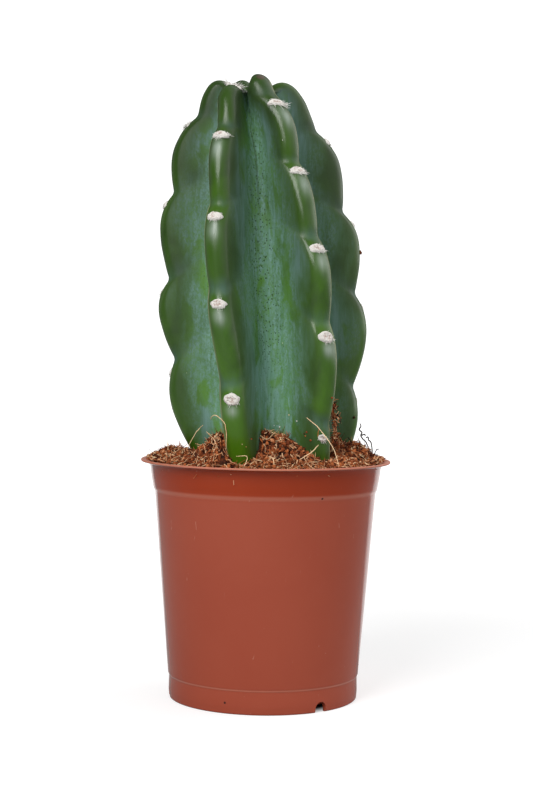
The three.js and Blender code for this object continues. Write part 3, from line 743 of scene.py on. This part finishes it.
def scatter(count, margin):
    """Random places on the mix, outside the stem by a margin and inside the pot."""
    angle, radius = stem_outline()
    places = np.zeros((0, 2))
    while len(places) < count:
        x, y = rng.uniform(-55, 55, (2, 4 * count))
        keep = np.hypot(x, y) < inside_radius(SOIL_EDGE) - 0.8
        keep &= np.hypot(x, y) > np.interp(np.arctan2(y, x), angle, radius, period=2 * np.pi) + margin
        places = np.vstack([places, np.stack([x, y], -1)[keep]])
    return places[:count]


def surface_normal(x, y):
    step = 0.5
    slope_x = (soil_height(x + step, y) - soil_height(x - step, y)) / (2 * step)
    slope_y = (soil_height(x, y + step) - soil_height(x, y - step)) / (2 * step)
    return unit(np.stack([-slope_x, -slope_y, np.ones_like(x)], -1))


def bent_shreds(middle, lead, facing, length, width, thickness, curl):
    """Bent flat shreds through given points, each tapered at both ends."""
    count = len(middle)
    long = rng.uniform(*length, count)
    t = np.linspace(-0.5, 0.5, 5)[None, :, None]
    bow = rng.normal(0, curl, (count, 3))
    centres = middle[:, None] + (lead[:, None] * t + bow[:, None] * (t**2 - 0.08)) * long[:, None, None]
    taper = np.array([0.45, 0.9, 1, 0.85, 0.4])[None, :, None]
    sizes = np.stack([rng.uniform(*width, count), rng.uniform(*thickness, count)], -1)
    across = facing + rng.normal(0, 0.5, (count, 3))
    return strands(centres, taper * sizes[:, None], across, 4, rng.uniform(0, 1, count))


def lying_shreds(count, length, width, thickness, tilt, lift, curl):
    """Shreds that lie on the mix at random."""
    x, y = scatter(count, 0.4).T
    normal = surface_normal(x, y)
    turn = rng.uniform(0, 2 * np.pi, count)
    flat = unit(np.cross(normal, np.stack([np.cos(turn), np.sin(turn), 0 * turn], -1)))
    lead = unit(flat + normal * rng.normal(0, tilt, count)[:, None])
    middle = np.stack([x, y, soil_height(x, y) + rng.uniform(*lift, count)], -1)
    return bent_shreds(middle, lead, normal, length, width, thickness, curl)


def spilled_shreds():
    """Shreds spilled over the lip at both sides of the pot."""
    angle = np.radians(np.concatenate([rng.normal(middle, SPILL_SPREAD, count) for middle, count in SPILLS]))
    share = rng.uniform(0, 1, len(angle))
    out = mix(COLLAR_RADIUS, SPILL_RADIUS, share)
    height = POT_HEIGHT + 0.3 + rng.uniform(0, 1, len(angle)) * mix(2.4, 0.3, share)
    middle = np.stack([out * np.sin(angle), -out * np.cos(angle), height], -1)
    lead = unit(rng.normal(0, 1, middle.shape) * (1, 1, 0.2))
    facing = np.tile([0.0, 0.0, 1.0], (len(angle), 1))
    return bent_shreds(middle, lead, facing, (1.8, 4.0), (0.25, 0.6), (0.12, 0.25), 0.4)


def tangled_shreds():
    """Shreds caught against a rib, in a loose clump that thins out upwards."""
    count = TANGLED_SHREDS
    share = rng.uniform(0, 1, count) ** 0.8
    line = spline(TANGLE, 200)
    middle = line[(share * 199).astype(int)] + rng.normal(0, 1, (count, 3)) * mix(0.5, 1.5, share)[:, None]
    lead = unit(rng.normal(0, 1, (count, 3)) * (0.7, 0.7, 1.2))
    facing = rng.normal(0, 1, (count, 3))
    return bent_shreds(middle, lead, facing, (1.5, 4.5), (0.15, 0.45), (0.1, 0.2), 0.7)


def stray_roots():
    """Roots and straws that stand out of the mix or lean on the stem."""
    rings = 28
    share = np.linspace(0, 1, rings)
    widths, tint, lines = zip(*STRAYS)
    centres = np.array([spline(line, rings) for line in lines])
    centres = centres + 0.12 * np.stack([lattice_noise(centres[..., 0], centres[..., 2], 0.0, seed)
                                         for seed in (8, 9, 10)], -1)
    half = np.array(widths)[:, None] * mix(0.5, 1.0, np.sin(np.pi * share) ** 0.5)
    facing = np.tile([0.3, -1.0, 0.2], (len(STRAYS), 1))
    return strands(centres, np.repeat(half[..., None], 2, 2), facing, 6, tint)


def clods(middle, size, tint):
    """Balls of few faces, each squashed and knocked out of round."""
    count, rings, sides = len(middle), 3, 6
    polar = np.pi * (np.arange(rings)[:, None] + 1) / (rings + 1)
    ball = turned_rings(np.sin(polar), np.cos(polar), sides).reshape(-1, 3)
    ball = np.vstack([ball, [0, 0, 1], [0, 0, -1]])
    knock = rng.uniform(0.7, 1.3, (count, len(ball), 1)) * rng.uniform(0.7, 1.2, (count, 1, 3))
    points = middle[:, None] + ball * knock * size[:, None, None]
    return *repeated(points, rings, sides), dict(tint=np.repeat(tint, len(ball)))


def loose_crumbs():
    """Clods that lie between the shreds."""
    count = LOOSE_CRUMBS
    x, y = scatter(count, 0.3).T
    middle = np.stack([x, y, soil_height(x, y) + rng.uniform(-0.6, 0.5, count)], -1)
    return clods(middle, rng.uniform(0.5, 1.25, count), rng.uniform(0, 0.7, count))


def skin_crumbs(*crumbs):
    """Clods on the stem, each given by its rib, side, place, distance, size and tint."""
    size, tint = np.array(crumbs)[:, 4:].T
    return clods(np.array([on_stem(*crumb[:4]) for crumb in crumbs]), size, tint)


def make_loose_mix(coir, grit):
    """All that lies loose: shreds, fibres, roots and crumbs, and a few grains of grit, in two materials."""
    for name, material, build, values in (
        ("coir_shreds", coir, lying_shreds, BROAD_SHREDS),
        ("coir_fibres", coir, lying_shreds, FINE_SHREDS),
        ("coir_spill", coir, spilled_shreds, ()),
        ("coir_tangle", coir, tangled_shreds, ()),
        ("loose_roots", coir, stray_roots, ()),
        ("soil_crumbs", coir, loose_crumbs, ()),
        ("stuck_crumbs", coir, skin_crumbs, STUCK),
        ("white_grit", grit, skin_crumbs, GRIT),
    ):
        dress(make_mesh(name, *build(*values)), material, "potting_mix")


# ---- Pot ----------------------------------------------------------------------------------------


def arc(centre, radius, start, end, count):
    """Points of an arc in the profile's plane, with angles in degrees."""
    angle = np.radians(np.linspace(start, end, count))
    return np.stack([centre[0] + radius * np.cos(angle), centre[1] + radius * np.sin(angle)], -1)


def pot_profile():
    """The pot's closed profile, radius and height: under the floor, up outside, over the lip, down inside."""
    foot_inside = BAND_RADIUS - FOOT_WIDTH
    lip_under = POT_HEIGHT - LIP
    ridge = BAND_HEIGHT - 0.9
    wall_low = np.linspace(BAND_HEIGHT + 0.6, STEP_HEIGHT - 2.4, 30)
    wall = np.stack([wall_radius(wall_low), wall_low], -1)
    step = spline(((wall_radius(STEP_HEIGHT - 2.2), STEP_HEIGHT - 2.2),
                   (WALL_TOP_RADIUS + 0.05, STEP_HEIGHT - 1.0), (COLLAR_RADIUS - 0.25, STEP_HEIGHT + 0.1),
                   (COLLAR_RADIUS + 0.05, STEP_HEIGHT + 1.3)), 12)
    collar = spline(((COLLAR_RADIUS + 0.1, STEP_HEIGHT + 1.8), (54.85, 106), (55.45, 110.5),
                     (COLLAR_TOP_RADIUS, lip_under - 1.2)), 12)
    under_lip = spline(((COLLAR_TOP_RADIUS + 0.1, lip_under - 0.7),
                        (COLLAR_TOP_RADIUS + 0.7, lip_under - 0.15), (57.6, lip_under + 0.05),
                        (RIM_RADIUS - 0.9, lip_under + 0.35)), 10)
    edge = arc((RIM_RADIUS - 0.52, POT_HEIGHT - 0.52), 0.52, -60, 90, 9)
    top = spline(((RIM_RADIUS - 1.2, POT_HEIGHT - 0.06), (57.4, POT_HEIGHT - 0.42), (55.9, POT_HEIGHT - 0.6),
                  (COLLAR_TOP_RADIUS - WALL + 0.1, POT_HEIGHT - 1.1)), 8)
    inner = np.linspace(POT_HEIGHT - 2.2, FLOOR_TOP + 0.8, 26)
    inside = np.stack([inside_radius(inner) + 0.03, inner], -1)
    band = spline(((BAND_RADIUS - 0.12, 1.1), (BAND_RADIUS + 0.1, 4), (BAND_RADIUS + 0.02, 8),
                   (BAND_RADIUS - 0.05, ridge - 0.5)), 14)
    shoulder = spline(((BAND_RADIUS, ridge - 0.2), (BAND_RADIUS + 0.22, ridge + 0.15),
                       (WALL_FOOT_RADIUS, BAND_HEIGHT)), 7)
    return np.vstack([
        [[34, FLOOR_HEIGHT], [foot_inside - 0.6, FLOOR_HEIGHT], [foot_inside, FLOOR_HEIGHT - 0.5],
         [foot_inside, 0.3], [foot_inside + 0.3, 0]],
        arc((BAND_RADIUS - 1.0, 0.88), 0.88, -90, -5, 7),
        band, shoulder, wall, step, collar, under_lip, edge, top, inside,
        [[inside_radius(FLOOR_TOP) - 0.8, FLOOR_TOP]],
    ])


def cutter(name, far, near):
    """A closed prism for cutting, between two outlines: the outer or upper one, then the other."""
    return closed_surface(name, np.stack([far, near]), far.mean(0), near.mean(0))


def notch_cutter(angle):
    """An arch, open at the bottom, pushed radially through the foot band."""
    half = NOTCH_WIDTH / 2
    bow = arc((0, NOTCH_HEIGHT - half), half, 0, 180, 17)
    outline = np.vstack([[[-half, -2], [half, -2]], bow])
    turn = math.radians(angle)
    across = np.array([math.cos(turn), math.sin(turn), 0])
    out = np.array([math.sin(turn), -math.cos(turn), 0])
    flat = outline[:, :1] * across + outline[:, 1:] * np.array([0, 0, 1.0])
    return cutter("cut_notch", flat + out * (BAND_RADIUS + 3), flat + out * (BAND_RADIUS - FOOT_WIDTH - 1.5))


def drain_cutter(number):
    """An upright cylinder through the floor, one of a ring of them."""
    turn = turns(32)
    angle = 2 * np.pi * (number + DRAIN_TURN) / DRAINS
    x = DRAIN_RING * math.cos(angle) + DRAIN_RADIUS * np.cos(turn)
    y = DRAIN_RING * math.sin(angle) + DRAIN_RADIUS * np.sin(turn)
    low = np.stack([x, y, np.full(32, FLOOR_HEIGHT - 1.0)], -1)
    return cutter("cut_drain", low + [0, 0, WALL + 2], low)


def make_pot(material):
    """The moulding: its profile turned round the axis, then cut by the notches and the drain holes."""
    radius, height = pot_profile()[::-1].T[:, :, None]
    rings = turned_rings(radius, height, POT_COLUMNS)
    pot = closed_surface("nursery_pot", rings, [0, 0, FLOOR_TOP], [0, 0, FLOOR_HEIGHT])
    cuts = [notch_cutter(angle) for angle in NOTCH_ANGLES] + [drain_cutter(n) for n in range(DRAINS)]
    for cut in cuts:
        modifier = pot.modifiers.new("cut", "BOOLEAN")
        modifier.object = cut
        modifier.operation = "DIFFERENCE"
        modifier.solver = "EXACT"
    finished = bpy.data.meshes.new_from_object(pot.evaluated_get(bpy.context.evaluated_depsgraph_get()))
    pot.modifiers.clear()
    pot.data = finished
    for cut in cuts:
        bpy.data.objects.remove(cut)
    finished.shade_smooth()
    finished.set_sharp_from_angle(angle=math.radians(SHARP_EDGE))
    dress(pot, material, "pot_plastic", "pot")


# ---- Shader nodes -------------------------------------------------------------------------------


def connect(tree, value, socket):
    """Links a Value to a socket, or sets the socket to a constant."""
    if isinstance(value, Value):
        tree.links.new(value.socket, socket)
    else:
        socket.default_value = value


def value_of(tree, kind, settings=None, output=0, **inputs):
    """One output of a new node. Inputs go by name, with _ for a space, or by number as i0, i1 and so on."""
    node = tree.nodes.new(kind)
    for label, setting in (settings or {}).items():
        setattr(node, label, setting)
    for label, value in inputs.items():
        numbered = label[0] == "i" and label[1:].isdigit()
        connect(tree, value, node.inputs[int(label[1:]) if numbered else label.replace("_", " ")])
    return Value(tree, node.outputs[output])


class Value:
    """A node's output, from which further nodes are made."""

    def __init__(self, tree, socket):
        self.tree = tree
        self.socket = socket

    def make(self, kind, settings=None, output=0, **inputs):
        return value_of(self.tree, kind, settings, output, **inputs)

    def maths(self, operation, other=0.0):
        return self.make("ShaderNodeMath", dict(operation=operation), i0=self, i1=other)

    def vector(self, operation, output=0, **inputs):
        return self.make("ShaderNodeVectorMath", dict(operation=operation), output, i0=self, **inputs)

    def __add__(self, other):
        return self.maths("ADD", other)

    def __sub__(self, other):
        return self.maths("SUBTRACT", other)

    def __mul__(self, other):
        return self.maths("MULTIPLY", other)

    def or_more(self, other):
        return self.maths("MAXIMUM", other)

    def axis(self, name):
        return self.make("ShaderNodeSeparateXYZ", None, name, Vector=self)

    def swing(self, reach):
        """A value from 0 to 1 as one that swings about 0, over a reach."""
        return (self - 0.5) * reach

    def between(self, low, high):
        """A value from 0 to 1 as one that goes evenly from low to high."""
        return self.make("ShaderNodeMapRange", Value=self, To_Min=low, To_Max=high)

    def remap(self, low, high, to_low=0.0, to_high=1.0):
        """Smoothly from one range to another."""
        smoothly = dict(interpolation_type="SMOOTHSTEP")
        return self.make("ShaderNodeMapRange", smoothly, Value=self, From_Min=low, From_Max=high,
                         To_Min=to_low, To_Max=to_high)

    def near(self, middle, reach):
        """1 where the value is at the middle, falling to 0 at a reach from it."""
        return (self - middle).maths("ABSOLUTE").remap(0.0, reach, 1.0, 0.0)

    def blend(self, first, second):
        """From one colour to the other, by the value."""
        return self.make("ShaderNodeMix", dict(data_type="RGBA"), 2, i0=self, i6=first, i7=second)


def group(name, build, **inputs):
    """A node group that makes a mask from a Vector and other inputs, given here with their defaults."""
    tree = bpy.data.node_groups.new(name, "ShaderNodeTree")
    for label, value in dict(Vector=(0, 0, 0), **inputs).items():
        kind = "NodeSocketVector" if isinstance(value, tuple) else "NodeSocketFloat"
        tree.interface.new_socket(label, in_out="INPUT", socket_type=kind).default_value = value
    tree.interface.new_socket("Mask", in_out="OUTPUT", socket_type="NodeSocketFloat")
    start = tree.nodes.new("NodeGroupInput")
    end = tree.nodes.new("NodeGroupOutput")
    given = {socket.name: Value(tree, socket) for socket in start.outputs}
    connect(tree, build(given), end.inputs["Mask"])
    return tree


def build_blotches(given):
    """Ragged patches: distorted noise, stretched along the axes, turned into a mask by a threshold."""
    stretched = given["Vector"].make("ShaderNodeMapping", Vector=given["Vector"], Scale=given["Stretch"])
    noise = stretched.make("ShaderNodeTexNoise", Vector=stretched, Scale=given["Scale"], Detail=6.0,
                           Roughness=given["Raggedness"], Distortion=0.6)
    threshold, softness = given["Threshold"], given["Softness"]
    return noise.remap(threshold - softness, threshold + softness)


def build_specks(given):
    """Scattered dots: the cores of random cells, only some of them chosen, each of its own size."""
    cell = given["Vector"].make("ShaderNodeTexVoronoi", None, "Color", Vector=given["Vector"],
                                Scale=given["Scale"], Randomness=1.0)
    distance = Value(cell.tree, cell.socket.node.outputs["Distance"])
    chosen = cell.make("ShaderNodeSeparateColor", Color=cell).maths("LESS_THAN", given["Amount"])
    second = cell.make("ShaderNodeSeparateColor", None, 1, Color=cell)
    reach = given["Size"] * second.remap(0.0, 1.0, 0.4, 1.0)
    return distance.remap(reach * 0.6, reach, 1.0, 0.0) * chosen


BLOTCHES = group("blotches", build_blotches, Stretch=(1, 1, 1), Scale=100.0, Raggedness=0.55, Threshold=0.5,
                 Softness=0.05)
SPECKS = group("specks", build_specks, Scale=400.0, Size=0.3, Amount=0.3)


class Finish:
    """A material with one Principled shader, whose constants are set on its own sockets."""

    def __init__(self, name, **constants):
        self.material = bpy.data.materials.new(name)
        self.material.use_nodes = True
        self.tree = self.material.node_tree
        self.position = self.make("ShaderNodeTexCoord", None, "Object")
        self.set(**constants)

    def make(self, kind, settings=None, output=0, **inputs):
        return value_of(self.tree, kind, settings, output, **inputs)

    def set(self, **inputs):
        shader = self.tree.nodes["Principled BSDF"]
        for label, value in inputs.items():
            connect(self.tree, value, shader.inputs[label.replace("_", " ")])

    def attribute(self, name):
        return self.make("ShaderNodeAttribute", dict(attribute_name=name), "Fac")

    def mask(self, mask_group, **inputs):
        return self.make("ShaderNodeGroup", dict(node_tree=mask_group), Vector=self.position, **inputs)

    def noise(self, scale, detail):
        return self.make("ShaderNodeTexNoise", Vector=self.position, Scale=scale, Detail=detail)

    def away_from(self, place):
        """Distance from a place, which is in millimetres, in metres."""
        return self.position.vector("DISTANCE", "Value", i1=tuple(MM * value for value in place))

    def relief(self, height, strength, distance):
        self.set(Normal=self.make("ShaderNodeBump", Strength=strength, Distance=distance, Height=height))


# ---- Finishes -----------------------------------------------------------------------------------


def skin_finish():
    """
    Waxy skin. A blue-grey bloom lies in the valleys and on the faces, in vertical streaks, and is rubbed off
    in ragged patches and on the crests, where the green shows. Dark pores pit the bloom in the valleys.
    """
    skin = Finish("cactus_skin", Specular_IOR_Level=0.45)
    valley, lobe, down = skin.attribute("valley"), skin.attribute("lobe"), skin.attribute("down")
    streaks = skin.mask(BLOTCHES, Stretch=(1, 1, 0.12), Scale=420.0, Softness=0.2, Raggedness=0.6)
    mottle = skin.mask(BLOTCHES, Stretch=(1, 1, 0.6), Scale=900.0, Softness=0.12, Raggedness=0.7)
    thin = skin.mask(BLOTCHES, Stretch=(1, 1, 0.4), Scale=45.0, Threshold=0.45, Softness=0.08, Raggedness=0.5)
    cloud = skin.mask(BLOTCHES, Stretch=(1, 1, 0.5), Scale=60.0, Softness=0.25, Raggedness=0.5)
    rubbed = skin.mask(BLOTCHES, Stretch=(1, 1, 0.45), Scale=75.0, Threshold=0.57, Softness=0.06,
                       Raggedness=0.5)
    # Bloom on green
    lying = (valley + cloud.swing(0.22)).remap(0.44, 0.72)
    speckled = (thin * mottle.between(1.0, 0.0)).between(1.0, 0.35)
    bloom = lying * rubbed.remap(0.0, 1.0, 1.0, 0.2) * streaks.remap(0.0, 1.0, 0.68, 1.0) * speckled
    green = cloud.blend(DEEP_GREEN, CREST_GREEN)
    wax = (streaks * 0.35).blend(BLOOM, PALE_BLOOM)
    colour = bloom.blend(green, wax)
    notch = (lobe + cloud.swing(0.3)).remap(-0.05, 0.42, 1.0, 0.0) * valley.remap(0.05, 0.9, 1.0, 0.15)
    notch = notch * streaks.between(0.5, 1.0) * down.remap(22.0, 42.0)
    colour = (notch * 0.6).blend(colour, BLOOM)
    # Pores, dust, painted shade along the crease of the valley, and the dab on one tip
    pores = skin.mask(SPECKS, Scale=880.0, Size=0.42, Amount=0.8)
    pores = pores * (valley.remap(0.7, 0.92) * down.remap(145.0, 178.0, 0.95, 0.3))
    colour = pores.blend(colour, PORE)
    dust = skin.mask(SPECKS, Scale=150.0, Size=0.055, Amount=0.3)
    colour = (dust * 0.8).blend(colour, SKIN_DUST)
    painted_crease_shade = valley.remap(0.965, 1.0) * down.remap(30.0, 125.0, 0.65, 0.0)
    colour = painted_crease_shade.blend(colour, CREASE_SHADE)
    scar = skin.away_from(TIP_SCAR).remap(1.2 * MM, 2.8 * MM, 1.0, 0.0) * 0.8
    colour = scar.blend(colour, SCAR)
    # Painted light and shade: darker near the growing point, where the light from above is strongest, darker
    # on the faces and lighter in the shaded valleys, most at the top; partly the skin's real paling with age.
    # Then the painted highlight under each areole and the painted rim reflection
    shade_and_age_scale = down.remap(10.0, 190.0, 0.54, 1.12) * valley.remap(0.15, 0.5, 0.9, 0.66)
    shade_and_age_scale = shade_and_age_scale * valley.remap(0.48, 0.84, 1.0, 2.35)
    shade_and_age_scale = shade_and_age_scale * valley.remap(0.5, 0.9).between(1.0, down.remap(20.0, 90.0, 1.9, 1.0))
    colour = colour.vector("SCALE", Scale=shade_and_age_scale)
    # Painted highlight: a pale patch on the crest under each areole, where the lamp would glint
    colour = (skin.attribute("spot") * streaks.remap(0.0, 1.0, 0.55, 0.75)).blend(colour, SPOT_HIGHLIGHT)
    # Painted reflection: a pale line along two rounded crests, where the white surroundings would be mirrored
    # at a grazing angle
    colour = skin.attribute("edge").blend(colour, RIM_REFLECTION)
    roughness = bloom.or_more(notch).between(0.29, 0.75)
    facing = skin.make("ShaderNodeLayerWeight", None, "Facing", Blend=0.5)
    roughness = roughness.or_more(valley.remap(0.3, 0.6, 0.0, 0.7))
    roughness = roughness.or_more(valley.remap(0.85, 0.97, 0.0, 0.9))
    roughness = roughness.or_more(facing.remap(0.55, 0.85, 0.0, 0.9))
    skin.set(Base_Color=colour, Roughness=roughness)
    skin.relief(skin.noise(900.0, 3.0) * 0.25 + streaks * 0.4 - pores, 0.35, 0.00025)
    return skin.material


def wool_finish():
    """White felt, browned in specks towards the middle of each cushion."""
    felt = Finish("areole_felt", Roughness=0.95, Specular_IOR_Level=0.1)
    middle = felt.attribute("middle")
    stain = felt.mask(BLOTCHES, Scale=900.0, Threshold=0.52, Softness=0.1) * middle.remap(0.1, 0.7)
    dark = felt.mask(SPECKS, Scale=1400.0, Size=0.35, Amount=0.3) * middle.remap(0.15, 0.6, 0.0, 0.7)
    felt.set(Base_Color=dark.blend(stain.blend(FELT, FELT_STAIN), FELT_SPECK))
    felt.relief(felt.noise(3000.0, 4.0), 0.8, 0.0003)
    return felt.material


def hair_finish():
    hair = Finish("areole_hair", Roughness=0.6, Specular_IOR_Level=0.3)
    hair.set(Base_Color=hair.mask(BLOTCHES, Scale=500.0, Softness=0.3).blend(*HAIR))
    return hair.material


def coir_finish(name, tinted):
    """Coir and peat, from near black through red-brown to straw, each shred with its own tint."""
    coir = Finish(name, Roughness=0.9, Specular_IOR_Level=0.2)
    grain = coir.noise(700.0, 5.0)
    patches = coir.mask(BLOTCHES, Scale=130.0, Softness=0.2)
    tone = grain.swing(0.6) + patches.swing(0.12) + (coir.attribute("tint") if tinted else 0.08)
    colour = coir.make("ShaderNodeValToRGB", Fac=tone)
    stops = colour.socket.node.color_ramp.elements
    stops.remove(stops[0])
    stops[0].position, stops[0].color = COIR[0]
    for place, tint in COIR[1:]:
        stops.new(place).color = tint
    coir.set(Base_Color=colour)
    coir.relief(grain, 0.7, 0.0004)
    return coir.material


def plastic_finish():
    """Red-brown polypropylene with a satin gloss, faint turned marks, scuffs and dust, with painted shade on
    the collar under the lip and painted highlights on the bead, the ridge and the lip.
    """
    plastic = Finish("terracotta_plastic", Specular_IOR_Level=0.35)
    cloud = plastic.mask(BLOTCHES, Scale=22.0, Softness=0.3)
    height = plastic.position.axis("Z")
    # Painted shade: the collar under the lip is darker and deeper red than the wall, as in the lip's shadow
    wall = height.remap((STEP_HEIGHT + 2) * MM, (STEP_HEIGHT - 2) * MM)
    colour = wall.blend(cloud.blend(*SHADED_COLLAR_PLASTIC), cloud.blend(*WALL_PLASTIC))
    # Painted highlight: a paler line along the bead of the step and the ridge over the foot band
    bead = height.near((STEP_HEIGHT - 0.3) * MM, 1.6 * MM)
    ridge = height.near((BAND_HEIGHT - 0.7) * MM, 0.7 * MM)
    colour = (bead * 0.45).or_more(ridge * 0.7).blend(colour, RIDGE_HIGHLIGHT_PLASTIC)
    # Painted highlight: the rounded edge of the lip is paler, where it would catch the light; it is also
    # rougher
    lip = height.remap((POT_HEIGHT - 1.15) * MM, (POT_HEIGHT - 0.85) * MM)
    colour = (lip * 0.85).blend(colour, LIP_HIGHLIGHT_PLASTIC)
    scuffs = plastic.mask(BLOTCHES, Stretch=(1, 1, 0.3), Scale=520.0, Threshold=0.72, Softness=0.02)
    dust = plastic.mask(SPECKS, Scale=120.0, Size=0.03, Amount=0.35)
    colour = (scuffs * 0.35).or_more(dust * 0.6).blend(colour, SCUFF)
    for place, size in PIN_MARKS:
        colour = plastic.away_from(place).remap(0.6 * size * MM, size * MM, 1.0, 0.0).blend(colour, PIN_MARK)
    plastic.set(Base_Color=colour, Roughness=cloud.between(0.10, 0.15).or_more(lip * 0.6))
    turned = plastic.mask(BLOTCHES, Stretch=(0.05, 0.05, 1), Scale=300.0, Softness=0.3)
    plastic.relief(turned * 0.5 + plastic.noise(260.0, 2.0), 0.12, 0.0002)
    return plastic.material


# ---- Stage --------------------------------------------------------------------------------------


def backdrop(direction):
    """The backdrop's light, in the directions behind the plant, reaching further round on its right."""
    behind = direction.axis("Y") + direction.axis("X") * 0.1
    return behind.remap(0.80, 0.85) * BACKDROP_STRENGTH


def make_floor():
    """A wide pale floor whose glow paints a reflection of the backdrop."""
    mesh = bpy.data.meshes.new("floor")
    corners = [(x * FLOOR_SIZE, y * FLOOR_SIZE, 0) for x, y in ((-1, -1), (1, -1), (1, 1), (-1, 1))]
    mesh.from_pydata(corners, [], [(0, 1, 2, 3)])
    white = Finish("floor_white", Roughness=0.9, Specular_IOR_Level=0.1, Base_Color=FLOOR_GREY,
                   Emission_Color=WHITE)
    direction = white.position.vector("NORMALIZE")
    far = white.position.vector("LENGTH", "Value")
    # Painted reflection: glossy rays see the floor glow with the backdrop's light
    painted_backdrop_reflection = white.make("ShaderNodeLightPath", None, "Is Glossy Ray") * backdrop(direction)
    seen = white.make("ShaderNodeLightPath", None, "Is Camera Ray").or_more(painted_backdrop_reflection)
    # The floor glows, dimmer near the pot and not at all beneath it, which paints a deeper shade round and
    # under the pot
    white.set(Emission_Strength=seen * far.remap(0.15, 0.9, 0.635, 0.95) * far.remap(0.036, 0.046))
    mesh.materials.append(white.material)
    put("floor", mesh)


def make_world():
    """
    A white studio, dimmer in front of and above the plant and lighter on the right, with dark strips beside
    a white backdrop. The camera sees plain white.
    """
    world = bpy.data.worlds.new("studio")
    bpy.context.scene.world = world
    world.use_nodes = True
    tree = world.node_tree
    direction = value_of(tree, "ShaderNodeTexCoord", None, "Generated")
    x, y, z = [direction.axis(name) for name in "XYZ"]
    front = y.remap(-0.5, 0.45, 0.24, 0.50) * y.remap(0.52, 0.68, 1.0, 0.2)
    strength = front * z.remap(0.1, 0.9, 1.0, 0.62) * x.remap(-0.4, 0.8, 0.9, 4.6) + backdrop(direction)
    seen = value_of(tree, "ShaderNodeLightPath", None, "Is Camera Ray")
    background = tree.nodes["Background"]
    connect(tree, strength.or_more(seen), background.inputs["Strength"])
    connect(tree, WHITE, background.inputs["Color"])


def make_lamp():
    """A softbox high on the left, in front of the plant."""
    data = bpy.data.lights.new("softbox", "AREA")
    data.shape = "RECTANGLE"
    data.size, data.size_y = LAMP_SIZE
    data.energy = LAMP_POWER
    lamp = put("softbox", data)
    lamp.location = LAMP_PLACE
    lamp.rotation_mode = "QUATERNION"
    lamp.rotation_quaternion = (Vector(LAMP_TARGET) - Vector(LAMP_PLACE)).to_track_quat("-Z", "Y")


def make_camera():
    """Level with the middle of the plant, 0.8 m in front of it, pitched down and rolled a little."""
    data = bpy.data.cameras.new("camera")
    data.lens = LENS
    data.sensor_width = SENSOR
    camera = put("camera", data)
    pitch, roll = math.radians(CAMERA_PITCH), math.radians(CAMERA_ROLL)
    turn = Matrix.Rotation(math.radians(90) - pitch, 4, "X") @ Matrix.Rotation(roll, 4, "Z")
    camera.matrix_world = Matrix.Translation(CAMERA_PLACE) @ turn
    bpy.context.scene.camera = camera


# ---- The plant ----------------------------------------------------------------------------------

wool = wool_finish()
make_stem(skin_finish())
make_areoles(wool)
make_hairs(hair_finish())
make_soil_bed(coir_finish("coir_bed", False))
make_loose_mix(coir_finish("coir_loose", True), wool)
make_pot(plastic_finish())
make_floor()
make_world()
make_lamp()
make_camera()
bpy.context.scene.view_settings.view_transform = "Standard"
